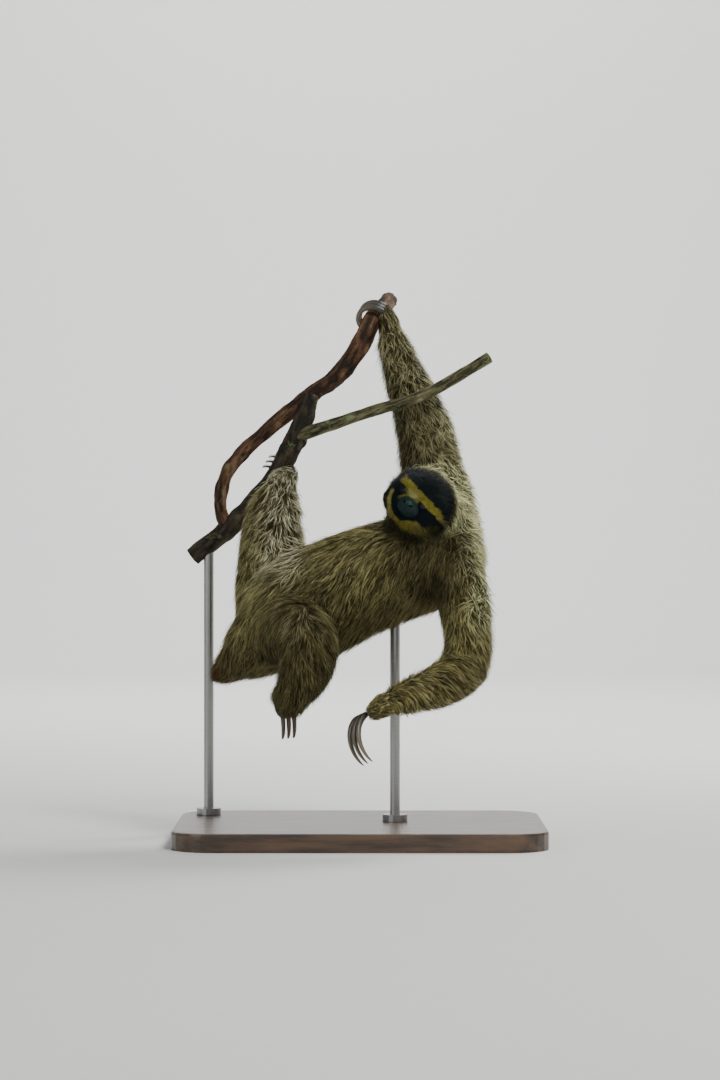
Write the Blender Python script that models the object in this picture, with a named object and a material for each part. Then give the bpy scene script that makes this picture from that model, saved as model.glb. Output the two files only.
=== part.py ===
"""A three-toed sloth, life size, hanging from a cut branch on a plain display stand.

The solids are the animal out to the tips of its coat. X runs to the viewer's right, +Y away from
the viewer and +Z up; the origin is the middle of the base's underside. The animal hangs by its
right hand and right foot, belly up and to the left, with its left side and its face to the viewer.
The trunk and the head are each melted from simple lumps. The limbs are tubes parted at the
joints, and every piece is carved to fit its neighbours with a thin gap.
"""

import math

import bmesh
import bpy
import numpy as np
from mathutils import Matrix, Vector

# ---------------------------------------------------------------- driving dimensions, in metres
CUT_GAP = 0.0004  # between two pieces that meet
SPECK = 0.000002  # corners that a cut leaves closer than this are one

# A chain is a row of knots: x, y, z, half-thickness in the picture plane, half-thickness in depth.
TRUNK = (
    (-0.126, 0.004, 0.234, 0.040, 0.050),  # buttocks
    (-0.102, 0.004, 0.252, 0.056, 0.064),  # hips
    (-0.058, 0.003, 0.283, 0.0680, 0.070),  # belly
    (-0.012, 0.002, 0.306, 0.0655, 0.069),
    (0.036, 0.002, 0.324, 0.0630, 0.067),  # ribs
    (0.080, 0.004, 0.336, 0.0600, 0.063),  # chest
    (0.106, 0.008, 0.342, 0.0430, 0.055),  # withers
)
NECK = (
    (0.094, 0.010, 0.356, 0.046, 0.048),
    (0.090, -0.004, 0.382, 0.043, 0.044),
    (0.082, -0.022, 0.396, 0.038, 0.038),
)
TAIL = (
    (-0.126, 0.004, 0.232, 0.032, 0.034),
    (-0.150, 0.003, 0.216, 0.022, 0.024),
    (-0.168, 0.001, 0.203, 0.013, 0.014),
)
RIGHT_ARM = (
    (0.106, 0.030, 0.360, 0.040, 0.036),  # shoulder, within the trunk
    (0.099, 0.042, 0.408, 0.038, 0.037),
    (0.0860, 0.050, 0.452, 0.0365, 0.036),  # elbow
    (0.0780, 0.052, 0.494, 0.0335, 0.033),
    (0.0665, 0.053, 0.530, 0.0290, 0.029),
    (0.0560, 0.054, 0.556, 0.0255, 0.026),
    (0.0425, 0.054, 0.592, 0.0210, 0.022),
    (0.0345, 0.052, 0.620, 0.0165, 0.018),  # wrist
    (0.0285, 0.0485, 0.6375, 0.0125, 0.0175),  # knuckles
)
LEFT_ARM = (
    (0.100, -0.022, 0.340, 0.040, 0.034),  # shoulder, within the trunk
    (0.116, -0.052, 0.310, 0.033, 0.031),
    (0.125, -0.070, 0.262, 0.0285, 0.028),
    (0.124, -0.080, 0.216, 0.0290, 0.0285),  # elbow
    (0.094, -0.098, 0.192, 0.0275, 0.027),
    (0.056, -0.120, 0.180, 0.0225, 0.023),
    (0.030, -0.132, 0.170, 0.0170, 0.018),  # wrist
    (0.014, -0.138, 0.160, 0.0110, 0.0160),  # knuckles
)
RIGHT_LEG = (
    (-0.108, 0.026, 0.262, 0.042, 0.038),  # hip, within the trunk
    (-0.112, 0.040, 0.306, 0.040, 0.037),
    (-0.1075, 0.046, 0.348, 0.0400, 0.037),  # knee
    (-0.1060, 0.044, 0.384, 0.0350, 0.032),
    (-0.1000, 0.038, 0.410, 0.0285, 0.026),
    (-0.0950, 0.034, 0.428, 0.0205, 0.021),  # ankle
    (-0.0870, 0.042, 0.4385, 0.0130, 0.0155),  # balls of the toes
)
LEFT_LEG = (
    (-0.098, -0.020, 0.250, 0.042, 0.040),  # hip, within the trunk
    (-0.080, -0.070, 0.254, 0.040, 0.038),
    (-0.062, -0.100, 0.248, 0.038, 0.036),  # knee
    (-0.0605, -0.110, 0.222, 0.0360, 0.034),
    (-0.0700, -0.106, 0.196, 0.0310, 0.029),
    (-0.0825, -0.100, 0.176, 0.0225, 0.0215),  # ankle
    (-0.0880, -0.098, 0.1640, 0.0155, 0.0140),  # balls of the toes
)
LIMBS = (  # side, chain, its upper, middle and end pieces, and the knots where they part
    ("right", RIGHT_ARM, ("upper_arm", "forearm", "hand"), (2, 7)),
    ("left", LEFT_ARM, ("upper_arm", "forearm", "hand"), (3, 6)),
    ("right", RIGHT_LEG, ("thigh", "shank", "foot"), (2, 5)),
    ("left", LEFT_LEG, ("thigh", "shank", "foot"), (2, 5)),
)
LIMB_STEPS = 4  # rings from knot to knot
LIMB_SIDES = 20
LIMB_VOXEL = 0.0035
LIMB_SMOOTHING = 2
LIMB_TRIANGLES = 460
STUB_TRIANGLES = 190  # of the neck and of the tail
TORSO_VOXEL = 0.0055
TORSO_SMOOTHING = 6
TORSO_TRIANGLES = 980

# Head: its middle, which way its face looks and its crown points.
HEAD_MIDDLE = Vector((0.0690, -0.044, 0.4040))
HEAD_FORWARD = Vector((-0.20, -0.965, 0.165)).normalized()
HEAD_UP = Vector((0.64, 0.0, 0.768))
# The lumps that make the head: left, forward and up of its middle, then half-sizes.
HEAD_LUMPS = (
    ((0.0030, -0.005, 0.001), (0.0435, 0.0370, 0.0435)),  # braincase under its hood of hair
    ((0.0160, 0.011, -0.010), (0.0220, 0.0210, 0.0220)),  # left cheek
    ((-0.0150, 0.011, -0.010), (0.0220, 0.0210, 0.0220)),  # right cheek
    ((0.000, 0.015, 0.012), (0.0260, 0.0170, 0.0160)),  # brow
    ((0.000, 0.026, -0.0100), (0.0160, 0.0175, 0.0125)),  # muzzle
    ((0.000, 0.022, -0.0200), (0.0150, 0.0130, 0.0095)),  # chin
)
HEAD_VOXEL = 0.0022
HEAD_SMOOTHING = 4
HEAD_TRIANGLES = 680
NOSE_PLACE = (0.0, 0.0410, -0.0085)
NOSE_HALF_SIZES = (0.0080, 0.0048, 0.0062)
EYE_PLACE = (0.0150, 0.0300, 0.0000)  # of the left eye; the right one mirrors it
EYE_RADIUS = 0.0054

# Claws, three to a limb: half-depth and half-width at the root.
CLAW_DEPTH = 0.0040
CLAW_WIDTH = 0.0031
CLAW_RINGS = 7
CLAW_SIDES = 6
CLAW_ROOT = 14  # degrees of the claw's arc that sit inside the hand or foot
# Limb, middle of the arc, axis that it bends round, towards its root, radius, sweep, spacing.
CLAWS = (
    ("hand_right", (0.0165, 0.050, 0.6285), (-0.22, -0.88, -0.42), (0.7, 0.0, 0.7), 0.018, 172, 0.008),
    ("hand_left", (0.020, -0.128, 0.126), (0.62, -0.70, 0.34), (-0.4, -0.2, 0.8), 0.034, 112, 0.008),
    ("foot_right", (-0.099, 0.0565, 0.4445), (0.5, -0.4, 0.77), (1.0, -0.35, 0.0), 0.0184, 192, 0.0078),
    ("foot_left", (-0.089, -0.066, 0.158), (1.0, 0.15, 0.1), (0.0, -1.0, 0.12), 0.032, 92, 0.0066),
)

# Perch: x, y, z and half-thickness of each knot.
BOUGH = (  # leaves the branch low on the left, bows out and rises to the right hand
    (-0.1640, 0.096, 0.3750, 0.0078),
    (-0.1720, 0.096, 0.4050, 0.0080),
    (-0.1600, 0.092, 0.4480, 0.0084),
    (-0.1150, 0.080, 0.4930, 0.0090),
    (-0.0620, 0.062, 0.5350, 0.0098),
    (-0.0290, 0.052, 0.5580, 0.0108),
    (-0.0050, 0.044, 0.5880, 0.0116),
    (0.0090, 0.043, 0.6140, 0.0116),
    (0.0160, 0.050, 0.6280, 0.0112),
    (0.0260, 0.078, 0.6420, 0.0104),
    (0.0360, 0.112, 0.6560, 0.0100),
)
BRANCH = (  # crosses behind the right leg and runs up into the bough
    (-0.2060, 0.104, 0.3400, 0.0112),
    (-0.1620, 0.096, 0.3740, 0.0116),
    (-0.1230, 0.082, 0.4130, 0.0114),
    (-0.1010, 0.058, 0.4410, 0.0116),
    (-0.0820, 0.048, 0.4760, 0.0122),
    (-0.0680, 0.048, 0.5060, 0.0116),
    (-0.0600, 0.058, 0.5350, 0.0100),
)
TWIG = (  # leaves the branch and crosses before the right forearm
    (-0.0780, 0.044, 0.4860, 0.0080),
    (-0.0360, 0.034, 0.4990, 0.0074),
    (0.0180, 0.012, 0.5160, 0.0068),
    (0.0600, 0.004, 0.5280, 0.0070),
    (0.0960, 0.006, 0.5440, 0.0068),
    (0.1560, 0.016, 0.5800, 0.0066),
)
PERCH_SIDES = 9
PERCH_STEPS = 2

# Stand.
BASE_SIZE = Vector((0.440, 0.340, 0.022))
BASE_CORNER = 0.050
BASE_CORNER_STEPS = 6
BASE_EDGE = 0.0035
ROD_RADIUS = 0.006
COLLAR_RADIUS = 0.015
COLLAR_HEIGHT = 0.008
# Each rod's name, foot on the base, and a height well within what it holds up.
RODS = (
    ("stand_rod_perch", (-0.186, 0.1005), 0.356),
    ("stand_rod_body", (0.042, 0.006), 0.285),
)


# ---------------------------------------------------------------- general tools
def clear_scene():
    for obj in list(bpy.data.objects):
        bpy.data.objects.remove(obj, do_unlink=True)


def add_object(name, mesh):
    obj = bpy.data.objects.new(name, mesh)
    bpy.context.scene.collection.objects.link(obj)
    return obj


def object_from_bmesh(name, bm):
    """Makes the object in triangles, so that a form and its cutter bend in the same places."""
    bmesh.ops.triangulate(bm, faces=bm.faces)
    bmesh.ops.recalc_face_normals(bm, faces=bm.faces)
    mesh = bpy.data.meshes.new(name)
    bm.to_mesh(mesh)
    bm.free()
    return add_object(name, mesh)


def remove_object(obj):
    mesh = obj.data
    bpy.data.objects.remove(obj, do_unlink=True)
    bpy.data.meshes.remove(mesh)


def apply_modifiers(obj):
    """Keeps what the modifiers make and drops the modifiers."""
    graph = bpy.context.evaluated_depsgraph_get()
    made = bpy.data.meshes.new_from_object(obj.evaluated_get(graph), depsgraph=graph)
    old = obj.data
    obj.modifiers.clear()
    obj.data = made
    bpy.data.meshes.remove(old)


def boolean(obj, other, operation):
    modifier = obj.modifiers.new(operation.title(), "BOOLEAN")
    modifier.operation = operation
    modifier.object = other
    apply_modifiers(obj)


def cutter_of(obj):
    """A copy of a whole form whose faces all stand out by the gap, for cutting its neighbours."""
    bm = bmesh.new()
    bm.from_mesh(obj.data)
    bm.normal_update()
    moves = [vert.normal * (CUT_GAP * vert.calc_shell_factor()) for vert in bm.verts]
    for vert, move in zip(bm.verts, moves):
        vert.co += move
    cutter = object_from_bmesh(obj.name + "_cutter", bm)
    cutter.hide_render = True
    cutter.display_type = "WIRE"
    return cutter


def neighbours(vert):
    return [edge.other_vert(vert) for edge in vert.link_edges]


def keep_largest(obj):
    """Drops the crumbs that a cut leaves, so that the piece is one closed body."""
    bm = bmesh.new()
    bm.from_mesh(obj.data)
    bmesh.ops.remove_doubles(bm, verts=bm.verts, dist=SPECK)
    left = set(bm.verts)
    islands = []
    while left:
        waiting = [left.pop()]
        island = []
        while waiting:
            vert = waiting.pop()
            island.append(vert)
            for other in neighbours(vert):
                if other in left:
                    left.remove(other)
                    waiting.append(other)
        islands.append(island)
    islands.sort(key=len)
    crumbs = [vert for island in islands[:-1] for vert in island]
    bmesh.ops.delete(bm, geom=crumbs, context="VERTS")
    bm.to_mesh(obj.data)
    bm.free()


def carve(obj, cutters):
    """Cuts the neighbours' cutters out of obj, which leaves the gap between them."""
    for cutter in cutters:
        boolean(obj, cutter, "DIFFERENCE")
    keep_largest(obj)


# ---------------------------------------------------------------- curves and tubes
def smooth_run(knots, steps):
    """A Catmull-Rom curve through the knots, whatever numbers each knot holds."""
    rows = np.array(knots, float)
    rows = np.vstack([2 * rows[0] - rows[1], rows, 2 * rows[-1] - rows[-2]])
    run = []
    for i in range(1, len(rows) - 2):
        before, here, after, beyond = rows[i - 1 : i + 3]
        for step in range(steps):
            t = step / steps
            run.append(
                here
                + 0.5 * t * (after - before)
                + t * t * (before - 2.5 * here + 2 * after - 0.5 * beyond)
                + t * t * t * (1.5 * (here - after) + 0.5 * (beyond - before))
            )
    run.append(rows[-2])
    return np.array(run)


def axes_along(points, lateral):
    """At each point of a run: its heading, and the two axes across it, the second near lateral."""
    axes = []
    for i in range(len(points)):
        before = Vector(points[max(i - 1, 0)])
        after = Vector(points[min(i + 1, len(points) - 1)])
        heading = (after - before).normalized()
        side = (lateral - heading * heading.dot(lateral)).normalized()
        axes.append((heading, heading.cross(side), side))
    return axes


def tube(bm, centres, half_sizes, axes, sides):
    """A closed tube; half_sizes holds the two half-thicknesses of each ring."""
    rings = []
    for centre, (rise, spread), (_, up, side) in zip(centres, half_sizes, axes):
        ring = []
        for k in range(sides):
            angle = 2 * math.pi * k / sides
            offset = up * (rise * math.cos(angle)) + side * (spread * math.sin(angle))
            ring.append(bm.verts.new(Vector(centre) + offset))
        rings.append(ring)
    for low, high in zip(rings, rings[1:]):
        for k in range(sides):
            following = (k + 1) % sides
            bm.faces.new((low[k], low[following], high[following], high[k]))
    bm.faces.new(rings[0])
    bm.faces.new(rings[-1])


def ball(bm, centre, half_sizes, axes, segments=24):
    """An ellipsoid whose half-sizes run along the three axes."""
    rings = segments // 2
    made = bmesh.ops.create_uvsphere(bm, u_segments=segments, v_segments=rings, radius=1.0)
    turn = Matrix(axes).transposed().to_4x4()
    size = Matrix.Diagonal((*half_sizes, 1.0))
    bmesh.ops.transform(bm, matrix=Matrix.Translation(centre) @ turn @ size, verts=made["verts"])


def rounded_end(centre, heading, half_sizes):
    """Rings that close a tube with a dome, from its last full ring outwards."""
    reach = min(half_sizes)
    rows = []
    for degrees in (28, 54, 76):
        angle = math.radians(degrees)
        middle = Vector(centre) + heading * (reach * math.sin(angle))
        rows.append((middle, [size * math.cos(angle) for size in half_sizes]))
    return rows


def chain_rings(knots, lateral, steps, round_start=False, round_end=True):
    """Centres, half-sizes and axes of a chain's rings, with domes at its ends."""
    run = smooth_run(knots, steps)
    axes = axes_along(run[:, :3], lateral)
    rows = [(Vector(row[:3]), list(row[3:5]), axis) for row, axis in zip(run, axes)]
    if round_end:
        heading = axes[-1][0]
        rows += [(*row, axes[-1]) for row in rounded_end(rows[-1][0], heading, rows[-1][1])]
    if round_start:
        heading = -axes[0][0]
        start = [(*row, axes[0]) for row in rounded_end(rows[0][0], heading, rows[0][1])]
        rows = start[::-1] + rows
    return rows


def tube_from_rows(name, rows, sides):
    bm = bmesh.new()
    centres, half_sizes, axes = zip(*rows)
    tube(bm, centres, half_sizes, axes, sides)
    return object_from_bmesh(name, bm)


def triangle_count(obj):
    return sum(len(face.vertices) - 2 for face in obj.data.polygons)


def melt(obj, voxel, smoothing, triangles):
    """Closes overlapping lumps into one smooth skin and thins it to about that many triangles."""
    remesh = obj.modifiers.new("Remesh", "REMESH")
    remesh.mode = "VOXEL"
    remesh.voxel_size = voxel
    smooth = obj.modifiers.new("Smooth", "SMOOTH")
    smooth.factor = 0.5
    smooth.iterations = smoothing
    apply_modifiers(obj)
    thin = obj.modifiers.new("Thin", "DECIMATE")
    thin.ratio = min(1.0, triangles / triangle_count(obj))
    thin.use_collapse_triangulate = True
    apply_modifiers(obj)


# ---------------------------------------------------------------- flesh
DEPTH_AXIS = Vector((0.0, 1.0, 0.0))
NEAR_LEG_AXIS = Vector((0.92, 0.30, 0.25)).normalized()  # the folded leg points at the viewer


def lateral_of(chain):
    return NEAR_LEG_AXIS if chain is LEFT_LEG else DEPTH_AXIS


def build_torso():
    """The trunk, with the swell of the shoulders and hips that the limbs grow from."""
    bm = bmesh.new()
    centres, half_sizes, axes = zip(*chain_rings(TRUNK, DEPTH_AXIS, 4, round_start=True))
    tube(bm, centres, half_sizes, axes, 28)
    for _, chain, _, _ in LIMBS:
        x, y, z, rise, spread = chain[0]
        ball(bm, (x, y, z), (rise, spread, rise), Matrix.Identity(3))
    torso = object_from_bmesh("trunk", bm)
    melt(torso, TORSO_VOXEL, TORSO_SMOOTHING, TORSO_TRIANGLES)
    return torso


def build_tube(name, chain, lateral, triangles):
    tube_made = tube_from_rows(name, chain_rings(chain, lateral, LIMB_STEPS), LIMB_SIDES)
    melt(tube_made, LIMB_VOXEL, LIMB_SMOOTHING, triangles)
    return tube_made


def part_across(obj, name, point, heading):
    """Takes off what lies past a point along the heading, as a new piece, with the usual gap."""
    beyond = add_object(name, obj.data.copy())
    for piece, way in ((obj, 1.0), (beyond, -1.0)):
        bm = bmesh.new()
        bm.from_mesh(piece.data)
        everything = list(bm.verts) + list(bm.edges) + list(bm.faces)
        cut = bmesh.ops.bisect_plane(
            bm,
            geom=everything,
            dist=SPECK,
            plane_co=point - heading * (way * CUT_GAP / 2),
            plane_no=heading * way,
            clear_outer=True,
        )
        rim = [item for item in cut["geom_cut"] if isinstance(item, bmesh.types.BMEdge)]
        bmesh.ops.edgeloop_fill(bm, edges=rim)
        bmesh.ops.recalc_face_normals(bm, faces=bm.faces)
        bm.to_mesh(piece.data)
        bm.free()
    return beyond


def build_limb(side, chain, names, breaks):
    """The limb, melted whole and parted at its two joints."""
    lateral = lateral_of(chain)
    pieces = [build_tube(f"{side}_{names[0]}", chain, lateral, LIMB_TRIANGLES)]
    run = smooth_run(chain, LIMB_STEPS)
    headings = [axis[0] for axis in axes_along(run[:, :3], lateral)]
    for name, mark in zip(names[1:], breaks):
        place = mark * LIMB_STEPS
        point = Vector(run[place][:3])
        pieces.append(part_across(pieces[-1], f"{side}_{name}", point, headings[place]))
    return pieces


def head_axes():
    """The head's left, forward and up."""
    left = HEAD_UP.cross(HEAD_FORWARD).normalized()
    return left, HEAD_FORWARD, HEAD_FORWARD.cross(left).normalized()


def in_head(place):
    left, forward, up = head_axes()
    return HEAD_MIDDLE + left * place[0] + forward * place[1] + up * place[2]


def build_head():
    bm = bmesh.new()
    for place, half_sizes in HEAD_LUMPS:
        ball(bm, in_head(place), half_sizes, head_axes(), 32)
    head = object_from_bmesh("head", bm)
    melt(head, HEAD_VOXEL, HEAD_SMOOTHING, HEAD_TRIANGLES)
    return head


def build_lump(name, place, half_sizes):
    bm = bmesh.new()
    ball(bm, in_head(place), half_sizes, head_axes(), 10)
    return object_from_bmesh(name, bm)


# ---------------------------------------------------------------- claws
def build_claw(name, centre, axis, root, radius, sweep):
    """A claw bent round an axis, tapering from its root in the toe to its point."""
    turned = axis.cross(root)
    rows = []
    for k in range(CLAW_RINGS):
        share = k / (CLAW_RINGS - 1)
        angle = math.radians(-CLAW_ROOT + (sweep + CLAW_ROOT) * share)
        out = root * math.cos(angle) + turned * math.sin(angle)
        heading = turned * math.cos(angle) - root * math.sin(angle)
        taper = math.sqrt(1.0 - 0.97 * share**1.7)
        size = (CLAW_DEPTH * taper, CLAW_WIDTH * taper)
        rows.append((centre + out * radius, size, (heading, out, axis)))
    return tube_from_rows(name, rows, CLAW_SIDES)


def build_claws(limb, centre, axis, towards_root, radius, sweep, spacing):
    """The limb's three claws, side by side along the axis that they bend round."""
    axis = Vector(axis).normalized()
    root = Vector(towards_root)
    root = (root - axis * axis.dot(root)).normalized()
    made = []
    for number, place in enumerate((-1, 0, 1), start=1):
        middle = Vector(centre) + axis * (place * spacing)
        made.append(build_claw(f"claw_{limb}_{number}", middle, axis, root, radius, sweep))
    return made


# ---------------------------------------------------------------- perch and stand
def build_wood(name, knots):
    rows = []
    run = smooth_run(knots, PERCH_STEPS)
    lateral = Vector((0.35, 0.60, -0.72)).normalized()
    for i, (row, axis) in enumerate(zip(run, axes_along(run[:, :3], lateral))):
        girth = row[3] * (1.0 + 0.05 * math.sin(1.9 * i) + 0.03 * math.sin(4.3 * i + 1.0))
        rows.append((Vector(row[:3]), (girth, girth), axis))
    return tube_from_rows(name, rows, PERCH_SIDES)


def build_base():
    half = BASE_SIZE / 2
    bm = bmesh.new()
    outline = []
    for quarter, (sx, sy) in enumerate(((1, 1), (-1, 1), (-1, -1), (1, -1))):
        centre = Vector((sx * (half.x - BASE_CORNER), sy * (half.y - BASE_CORNER), 0.0))
        for k in range(BASE_CORNER_STEPS + 1):
            angle = math.pi / 2 * (quarter + k / BASE_CORNER_STEPS)
            reach = Vector((math.cos(angle), math.sin(angle), 0.0)) * BASE_CORNER
            outline.append(bm.verts.new(centre + reach))
    top = bmesh.ops.extrude_face_region(bm, geom=[bm.faces.new(outline)])
    raised = [item for item in top["geom"] if isinstance(item, bmesh.types.BMVert)]
    bmesh.ops.translate(bm, verts=raised, vec=(0.0, 0.0, BASE_SIZE.z))
    rim = [edge for edge in bm.edges if all(vert in raised for vert in edge.verts)]
    bmesh.ops.bevel(bm, geom=rim, offset=BASE_EDGE, segments=2, profile=0.6, affect="EDGES")
    return object_from_bmesh("stand_base", bm)


def upright(name, foot, low, high, radius, sides):
    rows = []
    axes = (Vector((0.0, 0.0, 1.0)), Vector((1.0, 0.0, 0.0)), Vector((0.0, 1.0, 0.0)))
    for height in (low, high):
        rows.append((Vector((*foot, height)), (radius, radius), axes))
    return tube_from_rows(name, rows, sides)


def build_rod(name, foot, top):
    """An upright rod, with a collar where it stands on the base."""
    low = BASE_SIZE.z + CUT_GAP
    rod = upright(name, foot, low, top, ROD_RADIUS, 14)
    collar = upright("collar", foot, low, low + COLLAR_HEIGHT, COLLAR_RADIUS, 18)
    boolean(rod, collar, "UNION")
    remove_object(collar)
    return rod


# ---------------------------------------------------------------- finishes
def material(name, colour, roughness, metallic=0.0):
    made = bpy.data.materials.new(name)
    made.use_nodes = True
    shader = made.node_tree.nodes["Principled BSDF"]
    shader.inputs["Base Color"].default_value = (*colour, 1.0)
    shader.inputs["Roughness"].default_value = roughness
    shader.inputs["Metallic"].default_value = metallic
    return made


def finish(objects, made, smooth_angle):
    for obj in objects:
        obj.data.materials.clear()
        obj.data.materials.append(made)
        obj.data.shade_smooth()
        obj.data.set_sharp_from_angle(angle=math.radians(smooth_angle))


def main():
    clear_scene()
    head = build_head()
    features = [build_lump("nose", NOSE_PLACE, NOSE_HALF_SIZES)]
    for name, side in (("eye_left", 1), ("eye_right", -1)):
        place = (EYE_PLACE[0] * side, EYE_PLACE[1], EYE_PLACE[2])
        features.append(build_lump(name, place, (EYE_RADIUS,) * 3))
    torso = build_torso()
    neck = build_tube("neck", NECK, DEPTH_AXIS, STUB_TRIANGLES)
    tail = build_tube("tail", TAIL, DEPTH_AXIS, STUB_TRIANGLES)
    bough = build_wood("perch_bough", BOUGH)
    branch = build_wood("perch_branch", BRANCH)
    twig = build_wood("perch_twig", TWIG)
    limbs = [build_limb(*row) for row in LIMBS]
    claws = [build_claws(*row) for row in CLAWS]

    head_cut, torso_cut, neck_cut, bough_cut, branch_cut, twig_cut = [
        cutter_of(form) for form in (head, torso, neck, bough, branch, twig)
    ]
    wood_cuts = [bough_cut, branch_cut, twig_cut]
    feature_cuts = [cutter_of(feature) for feature in features]
    claw_cuts = [[cutter_of(claw) for claw in hand] for hand in claws]

    carve(head, feature_cuts)
    carve(torso, [head_cut])
    carve(neck, [head_cut, torso_cut])
    carve(tail, [torso_cut])
    carve(branch, [bough_cut])
    carve(twig, [branch_cut])
    for (upper, middle, end), own_claws, own_cuts in zip(limbs, claws, claw_cuts):
        carve(upper, [torso_cut, head_cut, neck_cut])
        carve(middle, [torso_cut, *wood_cuts, *own_cuts])
        carve(end, [*wood_cuts, *own_cuts])
        for claw in own_claws:
            carve(claw, wood_cuts)
    base = build_base()
    perch_rod, body_rod = [build_rod(*row) for row in RODS]
    carve(perch_rod, wood_cuts)
    carve(body_rod, [torso_cut])
    for cutter in [obj for obj in bpy.data.objects if obj.hide_render]:
        remove_object(cutter)

    flesh = [head, torso, neck, tail] + [piece for limb in limbs for piece in limb]
    finish(flesh, material("coat", (0.21, 0.17, 0.11), 0.9), 60)
    finish(features[:1], material("nose_skin", (0.03, 0.05, 0.05), 0.5), 60)
    finish(features[1:], material("eye", (0.02, 0.012, 0.008), 0.05), 60)
    horn = material("claw", (0.16, 0.14, 0.11), 0.4)
    for hand in claws:
        finish(hand, horn, 60)
    finish([bough, branch, twig], material("bark", (0.10, 0.065, 0.04), 0.85), 50)
    finish([base], material("stand_wood", (0.05, 0.04, 0.035), 0.35), 35)
    finish([perch_rod, body_rod], material("stand_metal", (0.45, 0.44, 0.42), 0.3, 1.0), 35)


main()
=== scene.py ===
"""A life-size three-toed sloth that hangs from a cut bough on a display stand: the looks over its solids.

One skin replaces the solids of flesh and lies inside them by the depth of the coat. The coat is solid
tufts that follow a lie of the hair worked out over that skin. Skin and coat carry the same markings.
"""

import itertools
import math

import bmesh
import bpy
import numpy as np
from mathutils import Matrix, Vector
from mathutils.bvhtree import BVHTree
from mathutils.kdtree import KDTree


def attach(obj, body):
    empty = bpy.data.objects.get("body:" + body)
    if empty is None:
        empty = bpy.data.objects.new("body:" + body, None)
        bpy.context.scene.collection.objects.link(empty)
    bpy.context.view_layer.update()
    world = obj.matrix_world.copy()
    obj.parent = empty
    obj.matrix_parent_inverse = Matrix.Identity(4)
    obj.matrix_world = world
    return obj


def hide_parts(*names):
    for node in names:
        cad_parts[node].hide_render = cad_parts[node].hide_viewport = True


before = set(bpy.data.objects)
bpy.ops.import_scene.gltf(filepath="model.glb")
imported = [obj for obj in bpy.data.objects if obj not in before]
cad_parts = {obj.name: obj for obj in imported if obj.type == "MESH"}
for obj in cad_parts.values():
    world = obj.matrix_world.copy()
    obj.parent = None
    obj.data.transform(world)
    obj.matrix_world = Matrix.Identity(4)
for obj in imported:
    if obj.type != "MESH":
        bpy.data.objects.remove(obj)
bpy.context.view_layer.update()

# The camera stands level in front of the left flank. Its frame is 0.864 m wide at the animal.
CAMERA_PLACE = (0.0, -4.0, 0.36)
CAMERA_LENS = 111.1
SENSOR_SIZE = 36.0

# The head's own axes: its middle, the way it looks, and the way its crown points.
HEAD_MIDDLE = np.array((0.069, -0.044, 0.404))
HEAD_AHEAD = np.array(Vector((-0.2, -0.965, 0.165)).normalized())
HEAD_CROWN = np.array((0.64, 0.0, 0.768))
HEAD_LEFT = np.cross(HEAD_CROWN, HEAD_AHEAD)
HEAD_LEFT /= np.linalg.norm(HEAD_LEFT)
HEAD_UP = np.cross(HEAD_AHEAD, HEAD_LEFT)

# The flesh, with the depth of the coat over it, the length and half width of its hair, and tufts per cm2.
COAT = {
    "head": (0.0055, 0.022, 0.00038, 64),
    "nose": (0.0, 0.003, 0.00028, 80),
    "neck": (0.008, 0.028, 0.00046, 52),
    "trunk": (0.0085, 0.033, 0.00048, 41),
    "tail": (0.006, 0.022, 0.00046, 46),
    "right_upper_arm": (0.008, 0.028, 0.00046, 42),
    "right_forearm": (0.0075, 0.025, 0.00045, 43),
    "right_hand": (0.003, 0.012, 0.00036, 75),
    "left_upper_arm": (0.008, 0.029, 0.00046, 42),
    "left_forearm": (0.0075, 0.026, 0.00045, 43),
    "left_hand": (0.003, 0.012, 0.00036, 75),
    "right_thigh": (0.0085, 0.03, 0.00046, 42),
    "right_shank": (0.008, 0.027, 0.00045, 43),
    "right_foot": (0.003, 0.012, 0.00036, 75),
    "left_thigh": (0.008, 0.03, 0.00046, 42),
    "left_shank": (0.008, 0.028, 0.00045, 43),
    "left_foot": (0.003, 0.012, 0.00036, 75),
}
# The same for the short hair of the face, and for the crown and cheeks round it.
FACE_COAT = (0.0015, 0.0038, 0.00023, 220)
CROWN_COAT = (0.0036, 0.0105, 0.0003, 125)

# How shaggy places change the length, half width and number of the tufts.
SHAG_CHANGE = (-0.3, -0.15, 0.45)

# The coat's pieces, each of which takes the hair of these nodes.
COAT_PIECES = {
    "coat_head": ("head", "nose"),
    "coat_neck": ("neck",),
    "coat_trunk": ("trunk",),
    "coat_tail": ("tail",),
    "coat_right_arm": ("right_upper_arm", "right_forearm", "right_hand"),
    "coat_left_arm": ("left_upper_arm", "left_forearm", "left_hand"),
    "coat_right_leg": ("right_thigh", "right_shank", "right_foot"),
    "coat_left_leg": ("left_thigh", "left_shank", "left_foot"),
}
TUFTS_PER_PIECE = 16000
TUFT_POINTS = 8

# The lie of the hair. It fans from the throat, falls with its weight and runs from the paws to the body.
DOWN = np.array((0.0, 0.0, -1.0))
THROAT = np.array((0.108, -0.01, 0.376))
TAIL_TIP = np.array((-0.185, 0.001, 0.19))
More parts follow.
